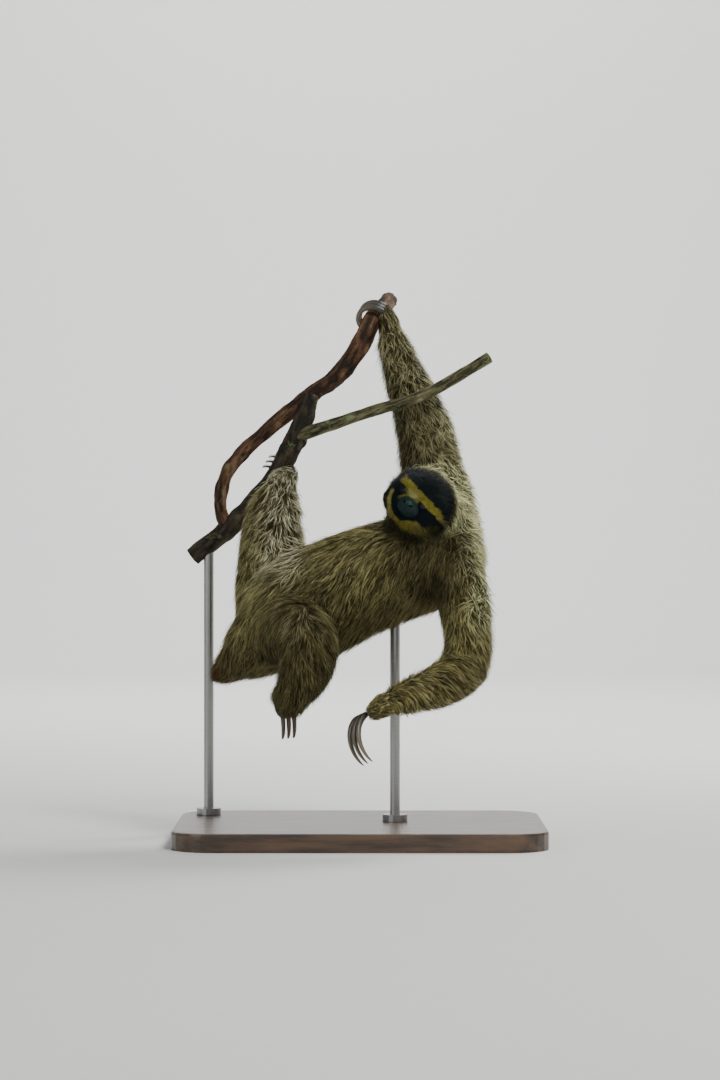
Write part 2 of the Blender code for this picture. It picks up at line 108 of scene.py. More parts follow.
# For each limb part: the way from paw to body, the share of that, of falling and of parting sideways, and
# a point (x, z) on the line down its front from which the hair parts.
LIMB_LIE = {
    "right_upper_arm": ((0.02, -0.014, -0.092), 1.0, 0.3, 0.45, (0.088, 0.44)),
    "right_forearm": ((0.06, 0.0, -0.15), 1.0, 0.2, 0.4, (0.058, 0.53)),
    "right_hand": ((0.01, 0.004, -0.026), 1.0, 0.0, 0.25, (0.03, 0.63)),
    "left_upper_arm": ((0.0, -0.03, -0.08), 0.5, 0.7, 0.35, (0.112, 0.28)),
    "left_forearm": ((0.09, 0.05, 0.044), 0.6, 0.5, 0.2, (0.08, 0.19)),
    "left_hand": ((0.016, 0.006, 0.01), 1.0, 0.0, 0.2, (0.018, 0.165)),
    "right_thigh": ((0.0, -0.014, -0.08), 0.8, 0.5, 0.45, (-0.108, 0.31)),
    "right_shank": ((-0.012, 0.006, -0.08), 0.9, 0.3, 0.6, (-0.094, 0.4)),
    "right_foot": ((-0.01, -0.006, -0.016), 1.0, 0.0, 0.3, (-0.09, 0.435)),
    "left_thigh": ((-0.01, 0.02, -0.07), 0.3, 0.9, 0.4, (-0.066, 0.26)),
    "left_shank": ((0.01, 0.004, -0.06), 0.3, 0.9, 0.45, (-0.064, 0.21)),
    "left_foot": ((0.01, 0.0, -0.02), 0.6, 0.6, 0.2, (-0.086, 0.165)),
}

SKIN_VOXEL = 0.0026
SKIN_CLOSING = 0.0005
SKIN_SMOOTHING = 12

# The face under its hair, in the head's own axes: lumps that melt together, as (left, ahead, up), sizes.
FACE_LUMPS = (
    ((0.002, -0.005, 0.001), (0.041, 0.0355, 0.041)),
    ((0.0165, 0.011, -0.01), (0.0212, 0.0203, 0.0212)),
    ((-0.015, 0.011, -0.01), (0.0212, 0.0203, 0.0212)),
    ((0.0125, 0.018, 0.01), (0.0145, 0.014, 0.008)),
    ((-0.0125, 0.018, 0.01), (0.0145, 0.014, 0.008)),
    ((0.015, 0.024, -0.0005), (0.009, 0.0085, 0.0078)),
    ((-0.015, 0.024, -0.0005), (0.009, 0.0085, 0.0078)),
    ((0.002, 0.0255, -0.0115), (0.0145, 0.016, 0.0125)),
    ((0.0022, 0.0205, -0.0215), (0.0145, 0.0125, 0.009)),
)
FACE_MELT = 0.004
EYES = {"eye_left": 0.015, "eye_right": -0.015}
EYE_AHEAD = 0.03
EYE_RADIUS = 0.0054
LID_OPENING = (0.0036, 0.0023)
LID_THICKNESS = 0.0009
NOSE_MIDDLE = (0.002, -0.012)
NOSE_HALF = (0.0138, 0.011)
NOSTRIL_PLACE = (0.0046, -0.0098)
NOSTRIL_HALF = (0.002, 0.001)
MOUTH_MIDDLE = (0.004, -0.024)
MOUTH_CURVE = 19.0
MOUTH_HALF_LENGTH = 0.019

# The face's markings, as (left, up) and sizes along them. The buff band crosses the brow at a slope.
BAND_HEIGHT = 0.0074
BAND_SLOPE = 0.11
BAND_HALF = 0.0045
MUZZLE_MIDDLE = (0.0035, -0.012)
MUZZLE_HALF = (0.0192, 0.0155)
BRIDGE_MIDDLE = (-0.003, 0.003)
BRIDGE_HALF = (0.0085, 0.0056)
RING_MIDDLE = (0.0045, -0.0028)
RING_INNER = 0.0265
RING_OUTER = 0.0335
# The lower edge of the dark stripe through each eye, as (out to the side, up).
EYE_STRIPE = (
    (0.008, -0.0004),
    (0.011, -0.0035),
    (0.015, -0.0085),
    (0.0205, -0.0145),
    (0.027, -0.017),
    (0.035, -0.0185),
    (0.044, -0.022),
)
# The dark lock that stands out from the right side of the crown, as (left, ahead, up), its size, and what
# it adds to the coat's four measures.
SIDE_LOCK = (-0.036, -0.006, 0.013)
SIDE_LOCK_HALF = 0.023
SIDE_LOCK_COAT = (0.0085, 0.007, 0.0, 75.0)
# Rounded regions of the body's markings, as (middle, half sizes, softness of the edge, share); those at the
# throat, the armpit and the near lower leg are painted shade.
REGIONS = {
    "mane": ((0.106, -0.004, 0.404), (0.04, 0.062, 0.056), 0.2, 1.0),
    "knee": ((-0.072, -0.125, 0.262), (0.022, 0.022, 0.022), 0.5, 0.25),
    "throat_shade": ((0.084, -0.05, 0.345), (0.055, 0.055, 0.046), 0.4, 0.75),
    "armpit_shade": ((0.088, -0.06, 0.3), (0.034, 0.034, 0.034), 0.5, 0.9),
    "low_leg_shade": ((-0.07, -0.09, 0.205), (0.064, 0.09, 0.09), 0.4, 0.65),
}
# The middle line of the raised arm, as x at a height of 0.4 and how far x falls with height.
RAISED_ARM_X = 0.106
RAISED_ARM_LEAN = 0.42

# Claws as (limb, arc's middle, axis, way to the root, arc radius, sweep in degrees, spacing).
CLAWS = (
    ("hand_right", (0.0165, 0.05, 0.6285), (-0.22, -0.88, -0.42), (0.7, 0.0, 0.7), 0.018, 172, 0.008),
    ("hand_left", (0.02, -0.128, 0.126), (0.62, -0.7, 0.34), (-0.4, -0.2, 0.8), 0.034, 112, 0.008),
    ("foot_right", (-0.099, 0.0565, 0.4445), (0.5, -0.4, 0.77), (1.0, -0.35, 0.0), 0.0184, 192, 0.0078),
    ("foot_left", (-0.089, -0.066, 0.158), (1.0, 0.15, 0.1), (0.0, -1.0, 0.12), 0.032, 92, 0.0066),
)
CLAW_DEPTH = 0.008
CLAW_WIDTH = 0.0062
CLAW_ROOT = 14  # degrees of the claw's arc inside the paw
CLAW_RINGS = 34
CLAW_SIDES = 14

# The perch's middle lines, as (x, y, z, radius).
BOUGH = (
    (-0.164, 0.096, 0.375, 0.0078),
    (-0.172, 0.096, 0.405, 0.008),
    (-0.16, 0.092, 0.448, 0.0084),
    (-0.115, 0.08, 0.493, 0.009),
    (-0.062, 0.062, 0.535, 0.0098),
    (-0.029, 0.052, 0.558, 0.0108),
    (-0.005, 0.044, 0.588, 0.0116),
    (0.009, 0.043, 0.614, 0.0116),
    (0.016, 0.05, 0.628, 0.0112),
    (0.026, 0.078, 0.642, 0.0104),
    (0.036, 0.112, 0.656, 0.01),
)
BRANCH = (
    (-0.206, 0.104, 0.34, 0.0112),
    (-0.162, 0.096, 0.374, 0.0116),
    (-0.123, 0.082, 0.413, 0.0114),
    (-0.101, 0.058, 0.441, 0.0116),
    (-0.082, 0.048, 0.476, 0.0122),
    (-0.068, 0.048, 0.506, 0.0116),
    (-0.06, 0.058, 0.535, 0.01),
)
TWIG = (
    (-0.078, 0.044, 0.486, 0.008),
    (-0.036, 0.034, 0.499, 0.0074),
    (0.018, 0.012, 0.516, 0.0068),
    (0.06, 0.004, 0.528, 0.007),
    (0.096, 0.006, 0.544, 0.0068),
    (0.156, 0.016, 0.58, 0.0066),
)
BARK_STEP = 0.0016
BARK_SIDES = 48
# Each length of wood: middle line, height of the bark's ridges, swell, and knobs as (distance along, way
# round in radians, height). Then its bark: colours of cracks, face, ridges and lichen, and lichen's share.
PERCH = {
    "bough": (BOUGH, 0.0011, 0.05, ((0.1, 1.0, 0.003), (0.27, 4.0, 0.0035))),
    "branch": (
        BRANCH,
        0.0012,
        0.09,
        ((0.05, 2.0, 0.003), (0.145, 5.0, 0.0045), (0.19, 0.8, 0.004), (0.205, 3.4, 0.003)),
    ),
    "twig": (TWIG, 0.00035, 0.06, ((0.05, 2.0, 0.0012), (0.13, 4.6, 0.0018), (0.175, 1.2, 0.0016))),
}
BARK = {
    "bough": ((0.016, 0.008, 0.004), (0.08, 0.038, 0.017), (0.17, 0.1, 0.05), (0.12, 0.13, 0.06), 0.0),
    "branch": ((0.008, 0.006, 0.0035), (0.036, 0.027, 0.015), (0.085, 0.07, 0.042), (0.1, 0.12, 0.05), 0.02),
    "twig": ((0.026, 0.023, 0.01), (0.095, 0.09, 0.04), (0.19, 0.18, 0.095), (0.16, 0.2, 0.09), 0.06),
}

# Colours of the coat and the skin.
OLIVE_BROWN = (0.15, 0.125, 0.04)
DARK_BROWN = (0.029, 0.023, 0.008)
# Umber paints shade into the coat under the chin, on the throat, in the armpit, on the near lower leg, under
# the rump and on the raised arm. It also colours the dark rim round the face.
UMBER_SHADE_AND_RIM = (0.021, 0.017, 0.007)
STRAW = (0.59, 0.54, 0.25)
BUFF = (0.24, 0.215, 0.03)
CREAM = (0.33, 0.315, 0.11)
NAVY = (0.0035, 0.0075, 0.01)
LEATHER = (0.003, 0.018, 0.015)
WORN_LEATHER = (0.008, 0.038, 0.031)
MOSS_GREY = (0.04, 0.039, 0.014)
FROST = (0.78, 0.79, 0.45)
RUST = (0.12, 0.048, 0.014)
FAWN = (0.062, 0.053, 0.02)
SILVER = (0.74, 0.71, 0.49)

# The studio: floor and wall, and each lamp as (place, point that it faces, size, power, colour).
FLOOR_HALF_WIDTH = 9.0
FLOOR_FRONT = -7.0
WALL_START = 5.0
WALL_CURVE = 1.5
WALL_TOP = 6.0
LAMPS = {
    "key": ((1.3, -2.2, 2.8), (0.0, 0.0, 0.35), 1.0, 84.0, (1.0, 0.98, 0.94)),
    "fill": ((-2.4, -2.4, 1.2), (0.0, 0.0, 0.35), 2.0, 18.0, (0.95, 0.98, 1.0)),
    "rim": ((1.3, 1.5, 2.2), (0.0, 0.0, 0.42), 1.0, 60.0, (1.0, 0.99, 0.95)),
    "wall": ((0.0, 2.8, 3.8), (0.0, 6.5, 1.0), 3.0, 300.0, (1.0, 1.0, 1.0)),
}

# What the skin and every tuft carry for their materials.
MARKS = ("face_marks", "body_marks", "shade_marks")

draws = np.random.default_rng(31)


# ---- numbers ----


def fade(low, high, value):
    """0 below low, 1 above high and a smooth step between them."""
    part = np.clip((value - low) / (high - low), 0.0, 1.0)
    return part * part * (3 - 2 * part)


def about(middle, half, value):
    """The same step from this far below a middle to this far above it."""
    return fade(middle - half, middle + half, value)


def ridge(value, middle, width):
    """1 at a middle, falling away smoothly on both sides."""
    return np.exp(-(((value - middle) / width) ** 2))


def unit(vectors):
    """The same directions at length one."""
    return vectors / np.maximum(np.linalg.norm(vectors, axis=-1, keepdims=True), 1e-12)


def lengths(vectors):
    """The length of each row."""
    return np.linalg.norm(vectors, axis=-1)


def dot(one, other):
    """The dot product of each row, kept as a column."""
    return (one * other).sum(axis=-1, keepdims=True)


def lattice(cell, seed):
    """A steady number from 0 to 1 for each whole-numbered cell."""
    mixed = (cell * np.array((73856093, 19349663, 83492791))).sum(axis=-1) + seed * 374761393
    mixed = (mixed ^ (mixed >> 13)) * 1274126177
    return ((mixed ^ (mixed >> 16)) & 0xFFFF) / 0xFFFF


def wander(points, size, seed):
    """Smooth noise from -1 to 1 whose swells are about this size."""
    scaled = np.asarray(points) / size
    cell = np.floor(scaled).astype(np.int64)
    part = scaled - cell
    part = part * part * (3 - 2 * part)
    total = np.zeros(len(scaled))
    for corner in itertools.product((0, 1), repeat=3):
        weight = np.where(corner, part, 1 - part).prod(axis=-1)
        total += weight * lattice(cell + np.array(corner), seed)
    return 2 * total - 1


def wander_vectors(points, size, seed):
    """Three such noises as a vector for each point."""
    return np.stack([wander(points, size, seed + axis) for axis in range(3)], axis=-1)


def columns(*values):
    """Rows that hold one of each of these values."""
    return np.stack(values, axis=-1)


# ---- meshes ----


def rows(things, name, width=3, kind=np.float32):
    """A property of every vertex, edge, corner or triangle of a mesh, as rows of numbers."""
    values = np.empty(len(things) * width, dtype=kind)
    things.foreach_get(name, values)
    return values.reshape(-1, width).astype(float if kind is np.float32 else int)


def edge_ends(mesh):
    """The two vertices of each edge."""
    return rows(mesh.edges, "vertices", 2, np.int32)


def put(name, data):
    """A new object in the scene."""
    thing = bpy.data.objects.new(name, data)
    bpy.context.scene.collection.objects.link(thing)
    return thing


def add_piece(name, points, faces, material):
    """A new smooth object from points, and blocks of faces with as many corners in each."""
    mesh = bpy.data.meshes.new(name)
    mesh.vertices.add(len(points))
    mesh.vertices.foreach_set("co", np.asarray(points, dtype=np.float32).ravel())
    sizes = np.concatenate([np.full(len(block), block.shape[1]) for block in faces])
    corners = np.concatenate([block.ravel() for block in faces]).astype(np.int32)
    mesh.loops.add(len(corners))
    mesh.loops.foreach_set("vertex_index", corners)
    mesh.polygons.add(len(sizes))
    starts = np.concatenate(([0], np.cumsum(sizes)[:-1])).astype(np.int32)
    mesh.polygons.foreach_set("loop_start", starts)
    mesh.update(calc_edges=True)
    mesh.polygons.foreach_set("use_smooth", np.ones(len(sizes), dtype=bool))
    mesh.materials.append(material)
    return put(name, mesh)


def set_places(mesh, places):
    """Moves the mesh's vertices to these rows."""
    mesh.vertices.foreach_set("co", places.astype(np.float32).ravel())
    mesh.update()


def spread(values, ends, rounds, where=1.0):
    """Evens values out between neighbouring vertices, some rounds of it, where it is asked for."""
    count = len(values)
    flat = values.reshape(count, -1).astype(float)
    degree = np.maximum(np.bincount(ends.ravel(), minlength=count), 1)[:, None]
    weight = 0.5 * np.reshape(where, (-1, 1))
    for _ in range(rounds):
        gathered = np.empty_like(flat)
        for column in range(flat.shape[1]):
            numbers = flat[:, column]
            gathered[:, column] = np.bincount(ends[:, 0], numbers[ends[:, 1]], count)
            gathered[:, column] += np.bincount(ends[:, 1], numbers[ends[:, 0]], count)
        flat += weight * (gathered / degree - flat)
    return flat.reshape(values.shape)


def smooth(mesh, rounds, where=1.0):
    """Evens out the mesh's own shape."""
    set_places(mesh, spread(rows(mesh.vertices, "co"), edge_ends(mesh), rounds, where))


def carry(mesh, name, *values):
    """Stores up to three numbers at each vertex for the materials to read."""
    stored = np.zeros((len(mesh.vertices), 3), dtype=np.float32)
    stored[:, : len(values)] = columns(*values)
    mesh.attributes.new(name, "FLOAT_VECTOR", "POINT").data.foreach_set("vector", stored.ravel())


# ---- the head's own axes and the markings ----


def in_head(points):
    """Each point as (left, ahead, up) from the middle of the head."""
    return (points - HEAD_MIDDLE) @ columns(HEAD_LEFT, HEAD_AHEAD, HEAD_UP)


def out_of_head(places):
    """The reverse: points from (left, ahead, up)."""
    return HEAD_MIDDLE + np.asarray(places) @ np.stack((HEAD_LEFT, HEAD_AHEAD, HEAD_UP))


def off_ahead(places):
    """How far each place is from straight ahead, in degrees."""
    return np.degrees(np.arctan2(np.hypot(places[:, 0], places[:, 2]), places[:, 1]))


def oval(places, middle, half):
    """1 on the edge of an oval drawn on the face, less inside it."""
    return np.hypot((places[:, 0] - middle[0]) / half[0], (places[:, 2] - middle[1]) / half[1])


def eye_spread(places, across):
    """1 on the edge of an eye's opening, seen from the middle of the eyeball, and its way from there."""
    from_eye = unit(places - np.array((across, EYE_AHEAD, 0.0)))
    reach = np.hypot(from_eye[:, 0] / LID_OPENING[0], from_eye[:, 2] / LID_OPENING[1]) * EYE_RADIUS
    return np.where(from_eye[:, 1] > 0, reach, 9.0), from_eye


def from_lids(places):
    """How far out each place is from the nearer eye's opening, 1 on its edge."""
    return np.minimum(*(eye_spread(places, across)[0] for across in EYES.values()))


def mouth_gap(places):
    """How far above the line of the mouth a place is, and how far along from its middle."""
    along = places[:, 0] - MOUTH_MIDDLE[0]
    return places[:, 2] - MOUTH_MIDDLE[1] - MOUTH_CURVE * along**2, np.abs(along)


def near_to(points, middle, sizes, soft, share=1.0):
    """A share inside a rounded region and 0 outside it, over a soft edge."""
    reach = lengths((points - np.array(middle)) / np.array(sizes))
    return share * (1 - about(1, soft, reach))


def side_lock(points, soft):
    """1 at the dark lock beside the crown."""
    return near_to(points, out_of_head(SIDE_LOCK), SIDE_LOCK_HALF, soft)


def face_marks(points, head_share):
    """The marks of the face: (buff, navy, leather), then the shares of the pale bridge and the dark rim."""
    places = in_head(points)
    ragged = 0.001 * wander(points, 0.004, 5) + 0.0008 * wander(points, 0.0015, 9)
    places[:, 2] += ragged
    left, ahead, up = places.T
    aside = np.abs(left)
    turned_off = off_ahead(places)
    pad = oval(places, NOSE_MIDDLE, NOSE_HALF)
    leather = (1 - fade(0.93, 1.1, pad)) * fade(0.018, 0.022, ahead)

    # the buff band across the brow, and the pale bridge below its middle
    band_middle = BAND_HEIGHT - BAND_SLOPE * left - 0.002 * fade(0.031, 0.038, left)
    above_band = (up - band_middle) / (BAND_HALF - 0.0012 * fade(0.03, 0.038, aside))
    below_band = fade(0.9, 1.1, -above_band)
    band = 1 - fade(0.72, 1.28, np.abs(above_band))
    band *= fade(-0.0265, -0.0225, left) * (1 - fade(0.033, 0.037, left))
    beside_pad = (1 - fade(1.12, 1.36, pad)) * fade(0.011, 0.006, left)
    bridge = 1 - fade(0.55, 1.4, oval(places, BRIDGE_MIDDLE, BRIDGE_HALF))
    bridge = np.maximum(bridge, 0.65 * beside_pad * fade(-0.013, -0.007, up))

    # the buff crescent round the chin, and the dark rim outside it
    out = np.hypot(left - RING_MIDDLE[0], up - RING_MIDDLE[1]) + 0.5 * ragged
    inner = RING_INNER + 0.0022 * fade(0.002, -0.016, left)
    inner += 0.009 * fade(0.018, 0.032, left) - 0.005 * fade(0.003, 0.017, left)
    outer = RING_OUTER - 0.0035 * fade(-0.018, -0.002, left) + 0.0035 * fade(0.016, 0.03, left)
    ring = about(inner, 0.0009, out) * (1 - about(outer, 0.001, out))
    ring *= fade(-0.0045, -0.0085, up) * (1 - 0.78 * fade(0.004, 0.034, left))
    rim = fade(outer - 0.001, outer + 0.002, out) * (1 - fade(88, 104, turned_off))

    # the dark of the eye stripes, the crown, the muzzle and the mask round it
    stripe = about(0, 0.001, up - np.interp(aside, *np.array(EYE_STRIPE).T)) * below_band
    stripe *= fade(0.0084, 0.01, aside)
    crown_edge = 76 + 14 * aside / np.maximum(np.hypot(left, up), 1e-6)
    crown = fade(0.75, 1.1, above_band) * (1 - fade(0.94, 1.05, turned_off / crown_edge))
    muzzle = 1 - fade(0.94, 1.06, oval(places, MUZZLE_MIDDLE, MUZZLE_HALF))
    mask = np.maximum(muzzle, (1 - about(inner, 0.001, out)) * below_band) * (1 - bridge)
    navy = np.maximum.reduce((stripe, crown, mask, 0.55 * rim, 0.85 * side_lock(points, 0.5)))
    navy *= 1 - np.maximum(band, ring)
    navy = np.maximum(navy, stripe * fade(0.45, 0.2, bridge))

    buff = np.maximum.reduce((band * (1 - stripe), bridge, 0.9 * ring)) * (1 - leather)
    pale = np.maximum(bridge, 0.6 * ring * fade(-0.008, -0.022, left))
    front = head_share * fade(-0.007, 0.001, ahead)
    return columns(buff, navy, leather) * front[:, None], pale * front, rim * front


def markings(points, head_share):
    """The coat's marks: those of the face, (grizzle, rust, tan) of the body, and (deep, bridge, shag), where
    deep is painted shade together with the face's dark rim.
    """
    face, bridge, rim = face_marks(points, head_share)
    # Of these regions, those at the throat, the armpit and the near lower leg paint shade.
    mane, knee, throat_shade, armpit_shade, low_leg_shade = (near_to(points, *region) for region in REGIONS.values())
    x, _, z = points.T
    soft = 0.012 * wander(points, 0.03, 21)
    patchy = 0.1 * wander(points, 0.016, 25)
    places = in_head(points)
    left, ahead, up = places.T
    turned_off = off_ahead(places)

    # frosted hair on the back of the head, the mane, the left shoulder and the raised arm's outer side
    back_of_head = head_share * fade(82, 96, turned_off) * fade(-0.008, 0.012, 0.65 * left + 0.75 * up)
    shoulder = 0.85 * fade(0.118, 0.14, x + soft) * fade(0.22, 0.28, z) * (1 - fade(0.44, 0.5, z))
    arm_edge = 0.142 - RAISED_ARM_LEAN * (z - 0.4) - x + soft
    arm_side = 0.6 * fade(0.016, -0.006, arm_edge) * fade(0.42, 0.46, z)
    grizzle = (back_of_head, mane * (1 - head_share), shoulder, arm_side)
    grizzle = np.clip(np.maximum.reduce(grizzle) + patchy, 0, 1)
    # Painted shade under the chin, between the head and the chest: it keeps the frost off there and lays
    # umber through deep.
    out = np.hypot(left - RING_MIDDLE[0], up - RING_MIDDLE[1])
    under_chin_shade = fade(RING_OUTER - 0.001, RING_OUTER + 0.003, out) * fade(0.056, 0.046, out + 0.3 * soft)
    under_chin_shade *= fade(-0.034, -0.018, ahead) * fade(0.0, -0.012, up)
    grizzle *= 1 - np.maximum(face[:, :2].max(axis=-1), 0.9 * under_chin_shade)

    # rusty hair on the rump and the raised arm's inner edge, and fawn hair on the raised leg
    up_arm = fade(0.42, 0.46, z) * fade(-0.02, 0.0, x)
    arm_across = x - RAISED_ARM_X + RAISED_ARM_LEAN * (z - 0.4) + 0.3 * soft
    rump = fade(-0.15, -0.176, x + soft) * fade(0.232, 0.212, z)
    rust = np.clip(np.maximum(rump, 0.6 * up_arm * fade(-0.006, -0.03, arm_across)), 0, 1)
    leg_front = 0.15 + 0.85 * fade(-0.13, -0.11, x + soft)
    leg = fade(0.28, 0.36, z + soft) * fade(-0.055, -0.075, x) * leg_front
    tan = np.clip(np.maximum.reduce((leg, knee, 0.3 * up_arm)) + patchy * leg, 0, 1)

    # painted shade under the chin, on the throat, in the armpit, on the near lower leg, under the rump and
    # on the raised arm, most on its left half, with the face's dark rim; and the shaggy places
    low_rump_shade = 0.45 * fade(0.25, 0.225, z) * fade(-0.1, -0.13, x)
    shaded_arm = up_arm * (0.3 + 0.5 * fade(0.012, -0.016, arm_across))
    deep = (rim, under_chin_shade, throat_shade, armpit_shade, low_leg_shade * (1 - knee), low_rump_shade, shaded_arm)
    deep = np.clip(np.maximum.reduce(deep) * (1 - grizzle), 0, 1)
    fringe = head_share * fade(72, 90, turned_off) * (1 - 0.85 * side_lock(points, 0.6))
    ragged_arm = 0.5 * up_arm * (1 - fade(0.6, 0.625, z))
    shag = np.clip(np.maximum.reduce((fringe, ragged_arm, grizzle + 0.5 * tan)), 0, 1)
    return face, columns(grizzle, rust, tan), columns(deep, bridge, shag)


# ---- the skin ----


def melted_flesh():
    """One closed mesh over all the solids of flesh, and a tree of their faces with each face's node."""
    points, grown, faces, owners = [], [], [], []
    for node in COAT:
        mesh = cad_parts[node].data
        start = len(points)
        places = rows(mesh.vertices, "co")
        points.extend(places.tolist())
        grown.extend((places + SKIN_CLOSING * rows(mesh.vertex_normals, "vector")).tolist())
        faces += [[start + index for index in polygon.vertices] for polygon in mesh.polygons]
        owners += [node] * len(mesh.polygons)
    mesh = bpy.data.meshes.new("flesh")
    mesh.from_pydata(grown, [], faces)
    flesh = put("flesh", mesh)
    melt = flesh.modifiers.new("melt", "REMESH")
    melt.mode = "VOXEL"
    melt.voxel_size = SKIN_VOXEL
    bpy.context.view_layer.update()
    evaluated = flesh.evaluated_get(bpy.context.evaluated_depsgraph_get())
    melted = bpy.data.meshes.new_from_object(evaluated)
    bpy.data.objects.remove(flesh)
    return melted, BVHTree.FromPolygons(points, faces), owners


def divide_face(mesh):
    """Cuts the faces at the front of the head small, for the lids, nostrils and mouth."""
    shape = bmesh.new()
    shape.from_mesh(mesh)
    edges = set()
    for face in shape.faces:
        left, ahead, up = in_head(np.array(face.calc_center_median())[None, :])[0]
        if ahead > 0.012 and abs(left) < 0.034 and -0.036 < up < 0.024:
            edges.update(face.edges)
    bmesh.ops.subdivide_edges(shape, edges=list(edges), cuts=4, use_grid_fill=True)
    shape.to_mesh(mesh)
    shape.free()


def face_gap(places):
    """About how far outside the melted face each place is."""
    total = np.zeros(len(places))
    for middle, sizes in FACE_LUMPS:
        scaled = (places - np.array(middle)) / np.array(sizes)
        reach = lengths(scaled)
        slope = lengths(scaled / np.array(sizes))
        gap = reach * (reach - 1) / np.maximum(slope, 1e-9)
        total += np.exp(-gap / FACE_MELT * 2)
    return -np.log(np.maximum(total, 1e-12)) * FACE_MELT / 2


def face_surface(places):
    """Where the line from the head's middle through each place leaves the melted face."""
    way = unit(places)
    reach = np.full(len(places), 0.06)
    for _ in range(24):
        reach -= 0.8 * face_gap(way * reach[:, None])
    return way * reach[:, None]


def seat_eye(places, across):
    """Closes the lids round an eye and drops the skin behind the opening."""
    middle = np.array((across, EYE_AHEAD, 0.0))
    opened, way = eye_spread(places, across)
    near = lengths((places - middle)[:, (0, 2)])
    share = (1 - fade(1.5, 2.3, opened)) * (1 - fade(0.0075, 0.0095, near))
    lid = EYE_RADIUS + LID_THICKNESS * (0.45 + 0.55 * fade(1.0, 1.3, opened))
    reach = np.where(opened < 1, EYE_RADIUS - 0.0014, lid)
    places += share[:, None] * (middle + way * reach[:, None] - places)
    places[:, 1] -= 0.0005 * (ridge(near, 0.0078, 0.0008) + 0.6 * ridge(near, 0.01, 0.0007))


def press_mouth(places):
    """Presses the line of the mouth in and rounds the lips on its two sides."""
    above, along = mouth_gap(places)
    share = (1 - fade(MOUTH_HALF_LENGTH * 0.85, MOUTH_HALF_LENGTH * 1.1, along)) * (places[:, 1] > 0.008)
    lips = ridge(above, 0.0028, 0.0018) + 0.8 * ridge(above, -0.0026, 0.0017)
    places += unit(places) * (share * (0.0009 * lips - 0.0023 * ridge(above, 0, 0.0008)))[:, None]


def shape_nose(places):
    """Raises the leathery pad of the nose, with a groove down its middle and two nostrils."""
    pad = oval(places, NOSE_MIDDLE, NOSE_HALF)
    front = places[:, 1] > 0.015
    up = places[:, 2]
    raised = 0.0022 * (1 - fade(0.55, 1.05, pad)) - 0.0007 * ridge(pad, 1.08, 0.09)
    groove = ridge(places[:, 0], NOSE_MIDDLE[0], 0.0007)
    groove = groove * fade(-0.0215, -0.018, up) * fade(-0.006, -0.01, up)
    places[:, 1] += front * (raised - 0.0008 * groove)
    for side in (-1, 1):
        middle = (NOSE_MIDDLE[0] + side * NOSTRIL_PLACE[0], NOSTRIL_PLACE[1])
        across = places[:, 0] - middle[0]
        slant = places.copy()
        slant[:, 2] -= side * 0.6 * across + 90.0 * across**2
        hole = oval(slant, middle, NOSTRIL_HALF)
        places[:, 1] += front * (0.0008 * ridge(hole, 1.9, 0.7) - 0.0026 * (1 - fade(0.4, 1.3, hole)))


def model_face(mesh):
    """Gives the finely cut front of the head its lids, brow, nose, lips and nostrils."""
    places = in_head(rows(mesh.vertices, "co"))
    share = fade(0.01, 0.019, places[:, 1]) * (1 - fade(0.029, 0.035, np.abs(places[:, 0])))
    share *= fade(-0.036, -0.03, places[:, 2]) * (1 - fade(0.018, 0.024, places[:, 2]))
    share *= lengths(places) < 0.08
    chosen = np.flatnonzero(share > 0)
    modelled = face_surface(places[chosen])
    shape_nose(modelled)
    press_mouth(modelled)
    for across in EYES.values():
        seat_eye(modelled, across)
    places[chosen] += share[chosen, None] * (modelled - places[chosen])
    set_places(mesh, out_of_head(places))


def head_zones(places):
    """The share of crown and cheeks, and within that the share of the short-haired face."""
    turned_off = off_ahead(places)
    high = fade(0.006, 0.016, places[:, 2])
    return 1 - fade(54, 80, turned_off), 1 - fade(44, 62, turned_off + 14 * high)


